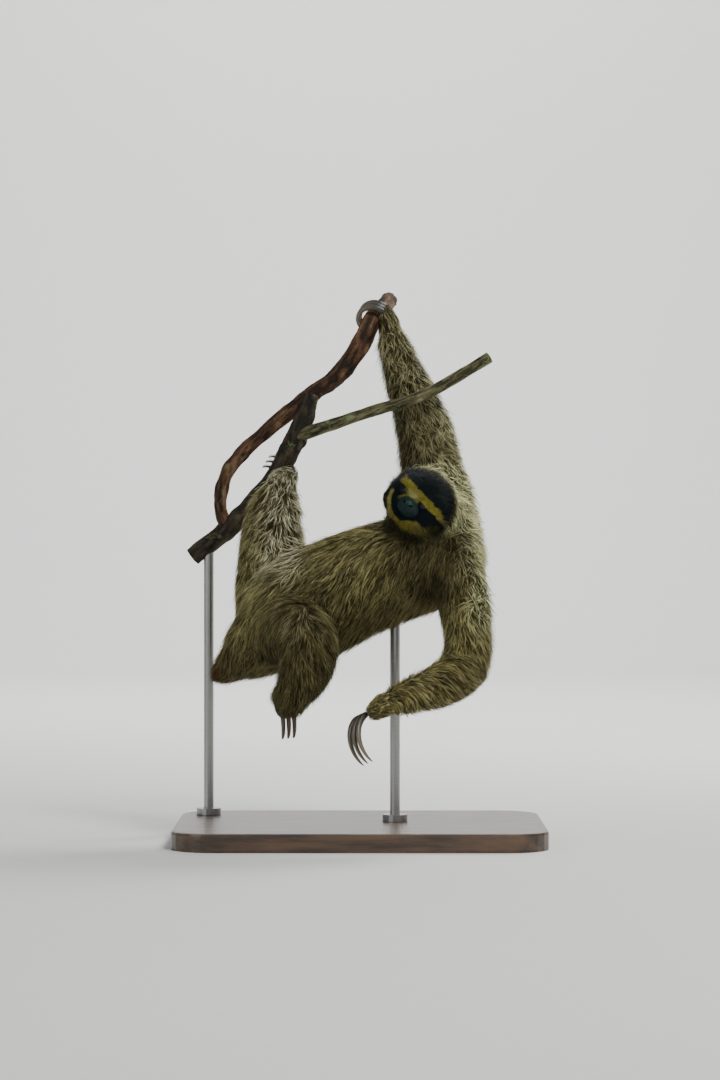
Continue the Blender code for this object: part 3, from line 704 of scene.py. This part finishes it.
class Skin:
    """The skin's mesh with what the coat needs to know at each vertex."""

    def __init__(self):
        self.mesh, self.solids, self.solid_names = melted_flesh()
        smooth(self.mesh, SKIN_SMOOTHING)
        self.inset()
        divide_face(self.mesh)
        places = in_head(rows(self.mesh.vertices, "co"))
        smooth(self.mesh, 16, fade(0.006, 0.012, places[:, 1]) * (lengths(places) < 0.06))
        model_face(self.mesh)
        self.ends = edge_ends(self.mesh)
        self.points = rows(self.mesh.vertices, "co")
        self.normals = rows(self.mesh.vertex_normals, "vector")
        self.owner = self.nearest_nodes(self.points)
        self.of_head = np.isin(self.owner, ("head", "nose"))
        self.head_share = spread(self.of_head.astype(float), self.ends, 6)
        self.marks = dict(zip(MARKS, markings(self.points, self.head_share)))
        self.coat = self.coat_measures()
        self.lie = self.hair_lie()
        self.tree = KDTree(len(self.points))
        for index, point in enumerate(self.points):
            self.tree.insert(point, index)
        self.tree.balance()

    def nearest_nodes(self, points):
        """The name of the solid nearest to each point."""
        return np.array([self.solid_names[self.solids.find_nearest(point)[2]] for point in points])

    def inset(self):
        """Draws the skin in from the solids by the depth of the coat."""
        points = rows(self.mesh.vertices, "co")
        depth = np.array([COAT[name][0] for name in self.nearest_nodes(points)])
        places = in_head(points)
        of_head = lengths(places) < 0.062
        crown, face = head_zones(places)
        for share, coat in ((crown, CROWN_COAT), (face, FACE_COAT)):
            depth += share * of_head * (coat[0] - depth)
        depth = spread(depth, edge_ends(self.mesh), 10)
        set_places(self.mesh, points - depth[:, None] * rows(self.mesh.vertex_normals, "vector"))
        smooth(self.mesh, 4)

    def coat_measures(self):
        """Depth, hair length, half width and tufts per cm2 at each vertex, evened out between parts."""
        table = np.array([COAT[name] for name in self.owner])
        places = in_head(self.points)
        crown, face = head_zones(places)
        table = spread(table, self.ends, 14)
        for share, coat in ((crown, CROWN_COAT), (face, FACE_COAT)):
            table += (share * self.head_share)[:, None] * (np.array(coat) - table)
        table[:, 1] *= 0.5 + 0.5 * fade(1.2, 3.2, from_lids(places))
        table += side_lock(self.points, 0.6)[:, None] * np.array(SIDE_LOCK_COAT)
        shag = self.marks["shade_marks"][:, 2]
        table[:, 1:] *= 1 + shag[:, None] * np.array(SHAG_CHANGE)
        return table

    def hair_lie(self):
        """The way that the hair lies at each vertex, along the skin."""
        points = self.points
        x, y, z = points.T
        lie = np.zeros_like(points)
        hang = np.maximum(fade(0.09, 0.112, x), fade(-0.012, 0.03, y))
        fall = 0.45 + 0.55 * fade(0.06, -0.16, x) + 0.85 * hang
        trunk = np.isin(self.owner, ("trunk", "neck"))
        lie[trunk] = (unit(points - THROAT) + fall[:, None] * DOWN)[trunk]
        tail = self.owner == "tail"
        lie[tail] = (unit(TAIL_TIP - points) + 0.4 * DOWN)[tail]
        muzzle = out_of_head((0.001, 0.04, -0.008))
        behind = fade(75, 125, off_ahead(in_head(points)))[:, None]
        lie[self.of_head] = (unit(points - muzzle) + 1.2 * behind * DOWN)[self.of_head]
        for name, (way, along, falling, parting, (part_x, part_z)) in LIMB_LIE.items():
            mask = self.owner == name
            way = unit(np.array(way))
            aside = columns(x - part_x, np.zeros(len(points)), z - part_z)
            aside -= dot(aside, way) * way
            aside = aside / 0.02
            aside /= np.maximum(np.linalg.norm(aside, axis=-1, keepdims=True), 1.0)
            lie[mask] = (along * way + falling * DOWN + parting * aside)[mask]
        lie = spread(unit(lie), self.ends, 24)
        lie -= dot(lie, self.normals) * self.normals
        return unit(lie)

    def nearest(self, points):
        """The index of the vertex nearest to each point."""
        find = self.tree.find
        return np.fromiter((find(point)[1] for point in points), dtype=np.int64, count=len(points))

    def unwrap(self, piece):
        """Unwraps the skin by its own shape and keeps where each corner falls."""
        bpy.context.view_layer.objects.active = piece
        piece.select_set(True)
        self.mesh.uv_layers.new(name="OFBake")
        bpy.ops.object.mode_set(mode="EDIT")
        bpy.ops.mesh.select_all(action="SELECT")
        bpy.ops.uv.smart_project(angle_limit=math.radians(66), island_margin=0.003)
        bpy.ops.object.mode_set(mode="OBJECT")
        piece.select_set(False)
        self.corner_uv = rows(self.mesh.uv_layers["OFBake"].data, "uv", 2)

    def bare(self):
        """Where no hair grows: the pad of the nose, the eyes and the line of the mouth."""
        places = in_head(self.points)
        above, along = mouth_gap(places)
        mouth = (np.abs(above) < 0.0009) & (along < MOUTH_HALF_LENGTH) & (places[:, 1] > 0.015)
        near_face = lengths(places) < 0.055
        open_face = (((from_lids(places) < 1.15) | mouth) & near_face).astype(float)
        return self.marks["face_marks"][:, 2] + open_face >= 0.5


# ---- the coat ----


def sow(skin, thinning):
    """Roots spread over the skin, as (vertex triple, shares of the three, place on the unwrap)."""
    skin.mesh.calc_loop_triangles()
    triples = rows(skin.mesh.loop_triangles, "vertices", 3, np.int32)
    loops = rows(skin.mesh.loop_triangles, "loops", 3, np.int32)
    one, two, three = (skin.points[triples[:, corner]] for corner in range(3))
    area = lengths(np.cross(two - one, three - one)) / 2
    density = skin.coat[:, 3] * 1e4 * ~skin.bare()
    edges = np.cumsum(area * density[triples].mean(axis=-1) * thinning)
    places = np.arange(int(edges[-1])) + draws.random(int(edges[-1]))
    chosen = np.minimum(np.searchsorted(edges, places), len(triples) - 1)
    first = np.sqrt(draws.random(len(chosen)))
    second = draws.random(len(chosen))
    shares = columns(1 - first, first * (1 - second), first * second)
    return triples[chosen], shares, (skin.corner_uv[loops[chosen]] * shares[:, :, None]).sum(axis=1)


class Tufts:
    """All the tufts of the coat: each a path over the skin, a width and its marks."""

    def __init__(self, skin, thinning):
        triples, shares, self.uv = sow(skin, thinning)

        def blended(values):
            """Values of the vertices blended at each root."""
            return (values[triples] * shares[:, :, None]).sum(axis=1)

        self.owner = skin.owner[triples[:, 0]]
        self.roots = blended(skin.points)
        self.normals = unit(blended(skin.normals))
        depth, length, half_width, _ = blended(skin.coat).T
        self.shag = blended(skin.marks["shade_marks"])[:, 2]
        count = len(self.roots)
        self.chance = draws.random(count)
        self.length = length * (0.72 + 0.5 * draws.random(count))
        self.half_width = half_width / math.sqrt(thinning) * (0.7 + 0.6 * draws.random(count))
        self.height = depth * (0.3 + 0.95 * draws.random(count) ** 0.8)
        proud = (draws.random(count) < 0.07) & (depth > 0.004)
        self.height[proud] *= 1.35
        self.height *= 1 + 1.1 * self.shag * self.chance
        self.lay(skin)
        self.gather_locks()

    def lay(self, skin):
        """Lays each tuft along the skin, rising from its root to its height at the tip, and marks it."""
        count, steps = len(self.roots), 3
        loose = (1 + 2.2 * self.shag)[:, None]
        strays = 0.16 * loose * draws.standard_normal((count, 3))
        point = self.roots
        at = skin.nearest(point)
        stations = [self.roots - 0.0012 * self.normals]
        ups = [self.normals]
        over, share = [], []
        for step in range(1, steps + 1):
            part = step / steps
            normal = skin.normals[at]
            bends = 0.28 * wander_vectors(point, 0.014, 40) + 0.16 * wander_vectors(point, 0.006, 60)
            way = skin.lie[at] + strays + loose * bends
            way = unit(way - dot(way, normal) * normal)
            point = point + way * (self.length / steps)[:, None]
            at = skin.nearest(point)
            normal = skin.normals[at]
            settled = point - 0.92 * dot(point - skin.points[at], normal) * normal
            moved = lengths(settled - stations[-1])
            point = np.where((moved < 1.6 * self.length / steps + self.height)[:, None], settled, point)
            over.append(point)
            share.append(skin.head_share[at])
            rise = self.height * (1.15 * part - 0.15 * part**2)
            droop = 0.1 * self.length * part**2
            stations.append(point + rise[:, None] * normal + droop[:, None] * DOWN)
            ups.append(normal)
        self.paths, self.up = np.stack(stations, axis=1), np.stack(ups, axis=1)
        marks = markings(np.stack(over, axis=1).reshape(-1, 3), np.stack(share, axis=1).ravel())
        self.marks = {name: values.reshape(count, steps, 3) for name, values in zip(MARKS, marks)}

    def gather_locks(self):
        """Draws the tips of neighbouring tufts together, so that they end in locks."""
        count = len(self.roots)
        leaders = draws.permutation(count)[: max(1, count // 9)]
        tree = KDTree(len(leaders))
        for index, leader in enumerate(leaders):
            tree.insert(self.roots[leader], index)
        tree.balance()
        nearest = (tree.find(root)[1] for root in self.roots)
        leader = leaders[np.fromiter(nearest, dtype=np.int64, count=count)]
        apart = self.roots[leader] - self.roots
        pull = 0.62 * fade(0.0, 0.01, self.length)[:, None] * (self.owner[leader] == self.owner)[:, None]
        for station, part in ((1, 0.22), (2, 0.6), (3, 1.0)):
            self.paths[:, station] += pull * part * apart
        self.lock_chance = self.chance[leader]

    def build(self, name, chosen, material):
        """One piece of the coat: closed, three-sided tufts that taper to a point at both ends."""
        paths, ups = self.paths[chosen], self.up[chosen]
        count = len(paths)
        points = [paths[:, 0]]
        for station, width in ((1, 1.0), (2, 0.74)):
            side = unit(np.cross(paths[:, station + 1] - paths[:, station - 1], ups[:, station]))
            half = (self.half_width[chosen] * width)[:, None]
            place = paths[:, station]
            points += [place - side * half, place + side * half, place + ups[:, station] * half * 0.8]
        points.append(paths[:, 3])
        quads, triangles = [], []
        for corner in range(3):
            after = (corner + 1) % 3
            triangles += [(0, 1 + after, 1 + corner), (4 + corner, 4 + after, 7)]
            quads.append((1 + corner, 1 + after, 4 + after, 4 + corner))
        start = np.arange(count)[:, None, None] * TUFT_POINTS
        faces = [(start + np.array(block)).reshape(-1, len(block[0])) for block in (quads, triangles)]
        piece = add_piece(name, np.stack(points, axis=1).reshape(-1, 3), faces, material)
        along = np.array((0, 0.36, 0.36, 0.36, 0.7, 0.7, 0.7, 1.0))
        across = np.array((0, -1, 1, 0, -0.7, 0.7, 0, 0))
        below = (0, 0, 0, 0, 1, 1, 1, 2)
        for mark, values in self.marks.items():
            carry(piece.data, mark, *values[chosen][:, below].reshape(-1, 3).T)
        chances = (np.repeat(values[chosen], TUFT_POINTS) for values in (self.chance, self.lock_chance))
        carry(piece.data, "strand", np.tile(along, count), *chances)
        patch = 0.0015 * columns(across, 2 * along - 1)
        self.map_to_skin(piece.data, (self.uv[chosen][:, None, :] + patch).reshape(-1, 2))
        return piece

    def map_to_skin(self, mesh, spots):
        """Puts each point of a tuft at its spot on the skin's unwrap."""
        layer = mesh.uv_layers.new(name="OFBake")
        corners = rows(mesh.loops, "vertex_index", 1, np.int32)[:, 0]
        layer.data.foreach_set("uv", spots[corners].astype(np.float32).ravel())


def grow_coat(skin, material):
    """Builds the coat in pieces that each stay well under the limit on triangles."""
    tufts = Tufts(skin, 1.0)
    for name, nodes in COAT_PIECES.items():
        members = np.flatnonzero(np.isin(tufts.owner, nodes))
        members = members[np.argsort(tufts.roots[members, 0], kind="stable")]
        parts = max(1, math.ceil(len(members) / TUFTS_PER_PIECE))
        for number, chosen in enumerate(np.array_split(members, parts), 1):
            piece = tufts.build(name if parts == 1 else f"{name}_{number}", chosen, material)
            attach(piece, "root")


# ---- eyes, claws and perch ----


def turned(name, points, sides, material):
    """A closed form from rings of points, with a fan over each end."""
    points = np.asarray(points)
    side = np.arange(sides)
    after = (side + 1) % sides
    last = len(points) - sides
    low = np.arange(0, last, sides)[:, None]
    high = low + sides
    quads = columns(low + side, low + after, high + after, high + side).reshape(-1, 4)
    centre = np.full(sides, len(points))
    bottom = columns(centre, after, side)
    top = columns(centre + 1, last + side, last + after)
    points = np.vstack((points, points[:sides].mean(axis=0), points[-sides:].mean(axis=0)))
    return add_piece(name, points, (quads, np.vstack((bottom, top))), material)


def eyeball(node, across, material):
    """A dark eye with a clear bulge, set in its lids."""
    middle = np.array((across, EYE_AHEAD, 0.0))
    rings, sides = 26, 36
    points = []
    for ring, side in itertools.product(range(rings), range(sides)):
        tilt = math.pi * (ring + 0.5) / rings
        turn = -2 * math.pi * side / sides
        reach = (EYE_RADIUS - 0.0001) * (1 + 0.035 * math.exp(-((tilt / 0.55) ** 2)))
        way = np.array((math.sin(tilt) * math.cos(turn), math.cos(tilt), math.sin(tilt) * math.sin(turn)))
        points.append(out_of_head((middle + reach * way)[None, :])[0])
    piece = turned(f"{node}_ball", points, sides, material)
    left, _, up = (in_head(rows(piece.data.vertices, "co")) - middle).T
    carry(piece.data, "iris", np.hypot(left, up) / EYE_RADIUS)
    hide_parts(node)
    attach(piece, "root")


def claw(limb, number, middle, axis, to_root, radius, sweep, spacing, material):
    """A hooked claw, deeper than wide, ridged above and hollowed below, with its root in the paw."""
    axis = unit(np.array(axis))
    beside = (number - 2) * spacing * axis
    to_root = np.array(to_root) - (np.array(to_root) @ axis) * axis
    to_root = unit(to_root)
    ahead = np.cross(axis, to_root)
    points = []
    for ring, side in itertools.product(range(CLAW_RINGS), range(CLAW_SIDES)):
        part = ring / (CLAW_RINGS - 1)
        degrees = (sweep + CLAW_ROOT) * part - CLAW_ROOT
        turn = math.radians(degrees)
        outward = to_root * math.cos(turn) + ahead * math.sin(turn)
        buried = max(0.3 - 0.7 * degrees / CLAW_ROOT, 0.0)
        centre = middle + radius * outward + beside * (1 - 0.55 * buried**1.5)
        thick = (1 - part**1.7) ** 0.52 * (1 - 0.4 * buried**1.5)
        angle = 2 * math.pi * side / CLAW_SIDES
        deep, wide = math.cos(angle), math.sin(angle)
        keel = 1 + 0.1 * max(deep, 0) ** 6 - 0.16 * max(-deep, 0) ** 8
        ring_mark = 1 + 0.012 * math.sin(ring * 2.1 + number)
        half_deep = CLAW_DEPTH / 2 * max(thick, 0.03) * keel * ring_mark
        half_wide = CLAW_WIDTH / 2 * max(thick, 0.03) * ring_mark
        points.append(centre + outward * half_deep * deep + axis * half_wide * wide)
    piece = turned(f"horn_{limb}_{number}", points, CLAW_SIDES, material)
    along = np.repeat(np.arange(CLAW_RINGS), CLAW_SIDES) / (CLAW_RINGS - 1)
    along = np.concatenate((along, (0.0, 1.0)))
    carry(piece.data, "growth", along)
    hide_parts(f"claw_{limb}_{number}")
    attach(piece, "root")


def smooth_run(knots, spacing):
    """Points on a smooth curve through the knots, about evenly spaced."""
    knots = np.array(knots, dtype=float)
    padded = np.vstack((2 * knots[0] - knots[1], knots, 2 * knots[-1] - knots[-2]))
    fine = []
    for before, here, there, after in zip(padded[:-3], padded[1:-2], padded[2:-1], padded[3:]):
        square = 2 * before - 5 * here + 4 * there - after
        cube = 3 * here - before - 3 * there + after
        for part in np.linspace(0, 1, 24, endpoint=False):
            fine.append(0.5 * (2 * here + (there - before) * part + square * part**2 + cube * part**3))
    fine = np.array(fine + [knots[-1]])
    steps = lengths(np.diff(fine[:, :3], axis=0))
    travelled = np.concatenate(([0], np.cumsum(steps)))
    wanted = np.linspace(0, travelled[-1], int(travelled[-1] / spacing))
    return np.stack([np.interp(wanted, travelled, fine[:, column]) for column in range(4)], axis=-1), wanted


def limb_of_wood(node, knots, ridges, swell, knobs, material):
    """A length of wood with bark ridges along it, knobs where it branched, and sawn ends."""
    run, travelled = smooth_run(knots, BARK_STEP)
    ways = unit(np.gradient(run[:, :3], axis=0))
    across = unit(np.cross(ways[0], (0.0, 1.0, 0.3)))
    turns = 2 * np.pi * np.arange(BARK_SIDES) / BARK_SIDES
    spokes = []
    for way in ways:
        across = unit(across - (across @ way) * way)
        spokes.append(across * np.cos(turns)[:, None] + np.cross(way, across) * np.sin(turns)[:, None])
    turn = np.tile(turns, len(run))
    along = np.repeat(travelled, BARK_SIDES)
    middles = np.repeat(run, BARK_SIDES, axis=0)
    twist = turn + along * 9.0
    grain = columns(np.cos(twist), np.sin(twist), along / 0.03)
    plates = columns(np.cos(twist), np.sin(twist), along / 0.009)
    relief = wander(grain, 0.42, 3) + 0.6 * wander(grain * np.array((1, 1, 0.6)), 0.2, 7)
    crack = np.abs(wander(plates, 0.5, 11))
    knob = np.zeros(len(along))
    for at, facing, height in knobs:
        apart = np.abs((turn - facing + np.pi) % (2 * np.pi) - np.pi) * 0.01
        knob += height * ridge(np.hypot(along - at, apart), 0, 0.006)
    reach = middles[:, 3] * (1 + swell * wander(middles[:, :3], 0.022, 13))
    reach = reach + ridges * relief - ridges * 0.5 * fade(0.12, 0.0, crack) + knob
    points = middles[:, :3] + np.concatenate(spokes) * reach[:, None]
    piece = turned(f"{node}_bark", points, BARK_SIDES, material)
    sawn = np.zeros(len(points))
    sawn[:BARK_SIDES] = sawn[-BARK_SIDES:] = 0.4
    marks = columns(np.clip(0.5 + 0.45 * relief, 0, 1), crack, sawn)
    carry(piece.data, "bark_marks", *np.vstack((marks, [(0.5, 0.5, 1.0)] * 2)).T)
    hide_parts(node)
    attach(piece, "root")


# ---- materials ----


def maths(operation, swapped=False):
    """An operator that adds a Math node."""

    def operator(self, other):
        values = (other, self) if swapped else (self, other)
        return self.finish.node("ShaderNodeMath", {"operation": operation}, dict(enumerate(values)))

    return operator


class Wire:
    """A node's output. Plain arithmetic on it adds the Math nodes."""

    __add__ = maths("ADD")
    __radd__ = maths("ADD", swapped=True)
    __sub__ = maths("SUBTRACT")
    __rsub__ = maths("SUBTRACT", swapped=True)
    __mul__ = maths("MULTIPLY")
    __rmul__ = maths("MULTIPLY", swapped=True)

    def __init__(self, finish, socket):
        self.finish = finish
        self.socket = socket

    def ramp(self, low, high):
        """0 below low, 1 above high, smooth between."""
        sockets = {"Value": self, "From Min": low, "From Max": high}
        return self.finish.node("ShaderNodeMapRange", {"interpolation_type": "SMOOTHSTEP"}, sockets)


class Finish:
    """A material in the making."""

    def __init__(self, name, **constants):
        self.material = bpy.data.materials.new(name)
        self.material.use_nodes = True
        self.tree = self.material.node_tree
        self.shade(**constants)

    def shade(self, **values):
        """Gives the shader's sockets these values or links, and hands the material back."""
        for name, value in values.items():
            name = name.replace("_", " ").title().replace("Ior", "IOR")
            self.give(self.tree.nodes["Principled BSDF"].inputs[name], value)
        return self.material

    def give(self, socket, value):
        if isinstance(value, Wire):
            self.tree.links.new(value.socket, socket)
        else:
            socket.default_value = (*value, 1.0) if socket.type == "RGBA" else value

    def node(self, kind, settings, sockets, output=0):
        """Adds a node: its settings first, then the values or links of its sockets."""
        node = self.tree.nodes.new(kind)
        for setting, value in settings.items():
            setattr(node, setting, value)
        for socket, value in sockets.items():
            self.give(node.inputs[socket], value)
        return Wire(self, node.outputs[output])

    def marks(self, name):
        """The three numbers that the mesh carries under this name."""
        carried = self.node("ShaderNodeAttribute", {"attribute_name": name}, {}, output="Vector")
        return [self.node("ShaderNodeSeparateXYZ", {}, {"Vector": carried}, output=axis) for axis in "XYZ"]

    def place(self, stretch=None):
        """The place on the object, stretched along its axes where that is asked for."""
        place = self.node("ShaderNodeTexCoord", {}, {}, output="Object")
        if stretch is None:
            return place
        return self.node("ShaderNodeVectorMath", {"operation": "MULTIPLY"}, {0: place, 1: stretch})

    def noise(self, where, scale, detail=3.0, roughness=0.55):
        sockets = {"Vector": where, "Scale": scale, "Detail": detail, "Roughness": roughness}
        return self.node("ShaderNodeTexNoise", {}, sockets)

    def mix(self, share, one, other):
        """One colour turned into the other by a share."""
        return self.node("ShaderNodeMix", {"data_type": "RGBA"}, {0: share, 6: one, 7: other}, output=2)

    def tint(self, colour, amount):
        """A colour made lighter or darker by a factor that varies."""
        settings = {"data_type": "RGBA", "blend_type": "MULTIPLY"}
        grey = self.node("ShaderNodeCombineColor", {}, {0: amount, 1: amount, 2: amount})
        return self.node("ShaderNodeMix", settings, {0: 1.0, 6: colour, 7: grey}, output=2)

    def bump(self, height, strength, distance):
        sockets = {"Height": height, "Strength": strength, "Distance": distance}
        return self.node("ShaderNodeBump", {}, sockets)


def marked_colour(finish, ground, pale, frosted):
    """The ground colour under the marks of body and face, and the share of the nose's leather."""
    grizzle, rust, tan = finish.marks("body_marks")
    buff, navy, leather = finish.marks("face_marks")
    deep, bridge, _ = finish.marks("shade_marks")
    layers = (
        (pale * 0.8, STRAW),
        (tan * 0.85, finish.mix(frosted, FAWN, SILVER)),
        (grizzle * 0.9, finish.mix(frosted, MOSS_GREY, FROST)),
        (rust * 0.8, RUST),
        # deep lays umber as painted shade, and over the face's dark rim
        (deep * 0.85, UMBER_SHADE_AND_RIM),
        (navy, NAVY),
        (buff, finish.mix(bridge, BUFF, CREAM)),
        (leather, LEATHER),
    )
    for share, colour in layers:
        ground = finish.mix(share, ground, colour)
    return ground, leather


def coat_finish():
    """Coarse hair with paler tips on some strands, and painted shade that darkens each tuft towards its
    root.
    """
    finish = Finish("coat_hair", specular_ior_level=0.14)
    along, chance, lock = finish.marks("strand")
    ground = finish.mix(lock.ramp(0.1, 0.95), DARK_BROWN, OLIVE_BROWN)
    pale = along.ramp(0.25, 1.0) * chance.ramp(0.25, 0.95)
    frosted = along.ramp(0.15, 0.7) * (chance * 0.7 + lock * 0.3).ramp(0.54, 0.74)
    colour, _ = marked_colour(finish, ground, pale, frosted)
    # Painted shade: darker towards the root, where the coat shades itself, with tone that varies at random
    # by strand and lock.
    light = 0.22 + 0.88 * along.ramp(0.0, 0.6) + 0.5 * (chance - 0.5) + 0.4 * (lock - 0.5)
    return finish.shade(base_color=finish.tint(colour, light), roughness=0.5 + 0.15 * chance)


def skin_finish():
    """Skin under the coat, short hair on the face, and the leathery pad of the nose."""
    finish = Finish("skin_and_short_hair", specular_ior_level=0.2)
    where = finish.place()
    short_hair = finish.noise(where, 1500.0, 2.0)
    patches = finish.noise(where, 90.0, 4.0)
    ground = finish.mix(patches.ramp(0.3, 0.7), DARK_BROWN, OLIVE_BROWN)
    colour, leather = marked_colour(finish, ground, patches * 0.3, patches * 0.2)
    colour = finish.mix(leather * patches.ramp(0.4, 0.75) * 0.7, colour, WORN_LEATHER)
    colour = finish.tint(colour, 0.55 + 0.6 * short_hair)
    pebbles = finish.node("ShaderNodeTexVoronoi", {"feature": "F1"}, {"Vector": where, "Scale": 1300.0})
    height = short_hair * (1 - leather) + pebbles * leather * 0.8
    bump = finish.bump(height, 0.25, 0.0005)
    return finish.shade(base_color=colour, roughness=0.75 - 0.3 * leather, normal=bump)


def eye_finish():
    """A dark brown iris round a black pupil, under a wet surface."""
    finish = Finish("eye_wet", coat_weight=0.5, coat_roughness=0.03, roughness=0.35, specular_ior_level=0.1)
    off_centre = finish.marks("iris")[0]
    streaks = finish.noise(finish.place(), 1800.0, 2.0)
    iris = finish.mix(streaks, (0.004, 0.002, 0.001), (0.014, 0.007, 0.003))
    colour = finish.mix(off_centre.ramp(0.26, 0.32), (0.002, 0.002, 0.002), iris)
    return finish.shade(base_color=finish.mix(off_centre.ramp(0.58, 0.72), colour, (0.006, 0.004, 0.003)))


def horn_finish():
    """Claw: brown at the root, streaked along, pale and worn at the tip."""
    finish = Finish("claw_horn", coat_weight=0.2, coat_roughness=0.3)
    along = finish.marks("growth")[0]
    streaks = finish.noise(finish.place(), 260.0, 4.0)
    bands = finish.noise(finish.place(), 900.0, 2.0)
    colour = finish.mix(along.ramp(0.05, 0.85), (0.022, 0.018, 0.013), (0.15, 0.12, 0.08))
    colour = finish.tint(colour, 0.5 + 0.8 * streaks + 0.2 * bands)
    bump = finish.bump(streaks * 0.6 + bands * 0.4, 0.25, 0.0004)
    return finish.shade(base_color=colour, roughness=0.3 + 0.25 * streaks, normal=bump)


def bark_finish(name, deep, middle, worn, lichen, lichen_share):
    """Bark: dark in its cracks, worn on its ridges, with lichen, and pale rings on a sawn end."""
    finish = Finish(name, specular_ior_level=0.3)
    relief, crack, sawn = finish.marks("bark_marks")
    where = finish.place()
    fine = finish.noise(where, 420.0, 5.0, 0.65)
    broad = finish.noise(where, 45.0, 3.0)
    colour = finish.mix((relief + fine * 0.5 - 0.25).ramp(0.15, 0.6), deep, middle)
    colour = finish.mix((relief + broad * 0.4 - 0.2).ramp(0.6, 0.95), colour, worn)
    grown = (broad * 0.7 + fine * 0.3).ramp(0.6 - lichen_share, 0.68 - lichen_share * 0.6)
    colour = finish.mix(grown * 0.8, colour, lichen)
    colour = finish.tint(colour, 0.45 + 0.55 * crack.ramp(0.0, 0.18) + 0.35 * (fine - 0.5))
    sockets = {"Vector": where, "Scale": 160.0, "Distortion": 2.0}
    rings = finish.node("ShaderNodeTexWave", {"wave_type": "RINGS"}, sockets)
    wood = finish.mix(rings, (0.33, 0.24, 0.13), (0.2, 0.135, 0.07))
    colour = finish.mix(sawn.ramp(0.35, 0.5), colour, wood)
    bump = finish.bump(fine * 0.7 + crack.ramp(0.0, 0.25) * 0.5, 0.6, 0.0012)
    return finish.shade(base_color=colour, roughness=0.72 + 0.2 * fine, normal=bump)


def wood_finish():
    """The stand's base: dark stained wood under a satin varnish."""
    finish = Finish("stand_walnut", coat_weight=0.35, coat_roughness=0.25)
    grain = finish.noise(finish.place((1.0, 9.0, 9.0)), 9.0, 8.0, 0.65)
    pores = finish.noise(finish.place((1.0, 22.0, 22.0)), 40.0, 3.0)
    colour = finish.mix(grain.ramp(0.35, 0.68), (0.03, 0.017, 0.01), (0.105, 0.058, 0.03))
    colour = finish.tint(colour, 0.75 + 0.4 * pores)
    bump = finish.bump(pores, 0.15, 0.0004)
    return finish.shade(base_color=colour, roughness=0.34 + 0.18 * pores, normal=bump)


def metal_finish():
    """The stand's rods: brushed steel, with fine turning marks round them."""
    finish = Finish("stand_steel", metallic=1.0)
    marks = finish.noise(finish.place((1.0, 1.0, 26.0)), 60.0, 3.0)
    colour = finish.mix(marks, (0.3, 0.3, 0.29), (0.46, 0.455, 0.44))
    bump = finish.bump(marks, 0.08, 0.0002)
    return finish.shade(base_color=colour, roughness=0.28 + 0.16 * marks, normal=bump)


def floor_finish():
    """A plain pale studio floor."""
    finish = Finish("studio_paper", roughness=0.9)
    specks = finish.noise(finish.place(), 60.0, 2.0)
    return finish.shade(base_color=finish.mix(specks, (0.74, 0.74, 0.72), (0.77, 0.77, 0.755)))


# ---- the studio and the whole ----


def add_floor(material):
    """A pale floor that curves up into a wall, with room behind the animal to see its back."""
    run = [(FLOOR_FRONT, 0.0), (WALL_START, 0.0)]
    for step in range(1, 17):
        turn = math.radians(90 * step / 16)
        run.append((WALL_START + WALL_CURVE * math.sin(turn), WALL_CURVE - WALL_CURVE * math.cos(turn)))
    run.append((WALL_START + WALL_CURVE, WALL_TOP))
    points = [(x, y, z) for y, z in run for x in (-FLOOR_HALF_WIDTH, FLOOR_HALF_WIDTH)]
    quads = [(2 * row, 2 * row + 1, 2 * row + 3, 2 * row + 2) for row in range(len(run) - 1)]
    add_piece("studio_floor", points, (np.array(quads),), material)


def add_studio():
    """Floor, large soft lamps, pale surroundings and the camera."""
    add_floor(floor_finish())
    for name, (place, aim, size, power, colour) in LAMPS.items():
        lamp = bpy.data.lights.new(name, "AREA")
        lamp.shape = "DISK"
        lamp.size = size
        lamp.energy = power
        lamp.color = colour
        light = put(name, lamp)
        light.location = place
        light.rotation_euler = (Vector(aim) - Vector(place)).to_track_quat("-Z", "Y").to_euler()
    world = bpy.data.worlds.new("studio_air")
    world.use_nodes = True
    background = world.node_tree.nodes["Background"]
    background.inputs["Color"].default_value = (0.92, 0.95, 1.0, 1.0)
    background.inputs["Strength"].default_value = 0.33
    bpy.context.scene.world = world
    lens = bpy.data.cameras.new("camera")
    lens.lens = CAMERA_LENS
    lens.sensor_width = SENSOR_SIZE
    camera = put("camera", lens)
    camera.location = CAMERA_PLACE
    camera.rotation_euler = (math.radians(90), 0.0, 0.0)
    bpy.context.scene.camera = camera


def add_skin():
    """The skin as one piece that stands for every solid of flesh."""
    skin = Skin()
    piece = put("skin", skin.mesh)
    skin.mesh.materials.clear()
    skin.mesh.materials.append(skin_finish())
    skin.mesh.polygons.foreach_set("use_smooth", np.ones(len(skin.mesh.polygons), dtype=bool))
    skin.unwrap(piece)
    for name, values in skin.marks.items():
        carry(skin.mesh, name, *values.T)
    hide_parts(*COAT)
    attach(piece, "root")
    return skin


def dress_stand():
    """Keeps the stand's solids and gives them their finishes."""
    finishes = {"stand_base": wood_finish(), "stand_rod_perch": metal_finish()}
    finishes["stand_rod_body"] = finishes["stand_rod_perch"]
    for node, material in finishes.items():
        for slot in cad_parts[node].material_slots:
            slot.material = material


def main():
    """Builds the looks in the order camera, animal, perch and stand."""
    add_studio()
    skin = add_skin()
    grow_coat(skin, coat_finish())
    wet, horn = eye_finish(), horn_finish()
    for node, across in EYES.items():
        eyeball(node, across, wet)
    for limb, middle, *shape in CLAWS:
        for number in (1, 2, 3):
            claw(limb, number, np.array(middle), *shape, horn)
    for wood, form in PERCH.items():
        limb_of_wood(f"perch_{wood}", *form, bark_finish(f"{wood}_bark", *BARK[wood]))
    dress_stand()


main()
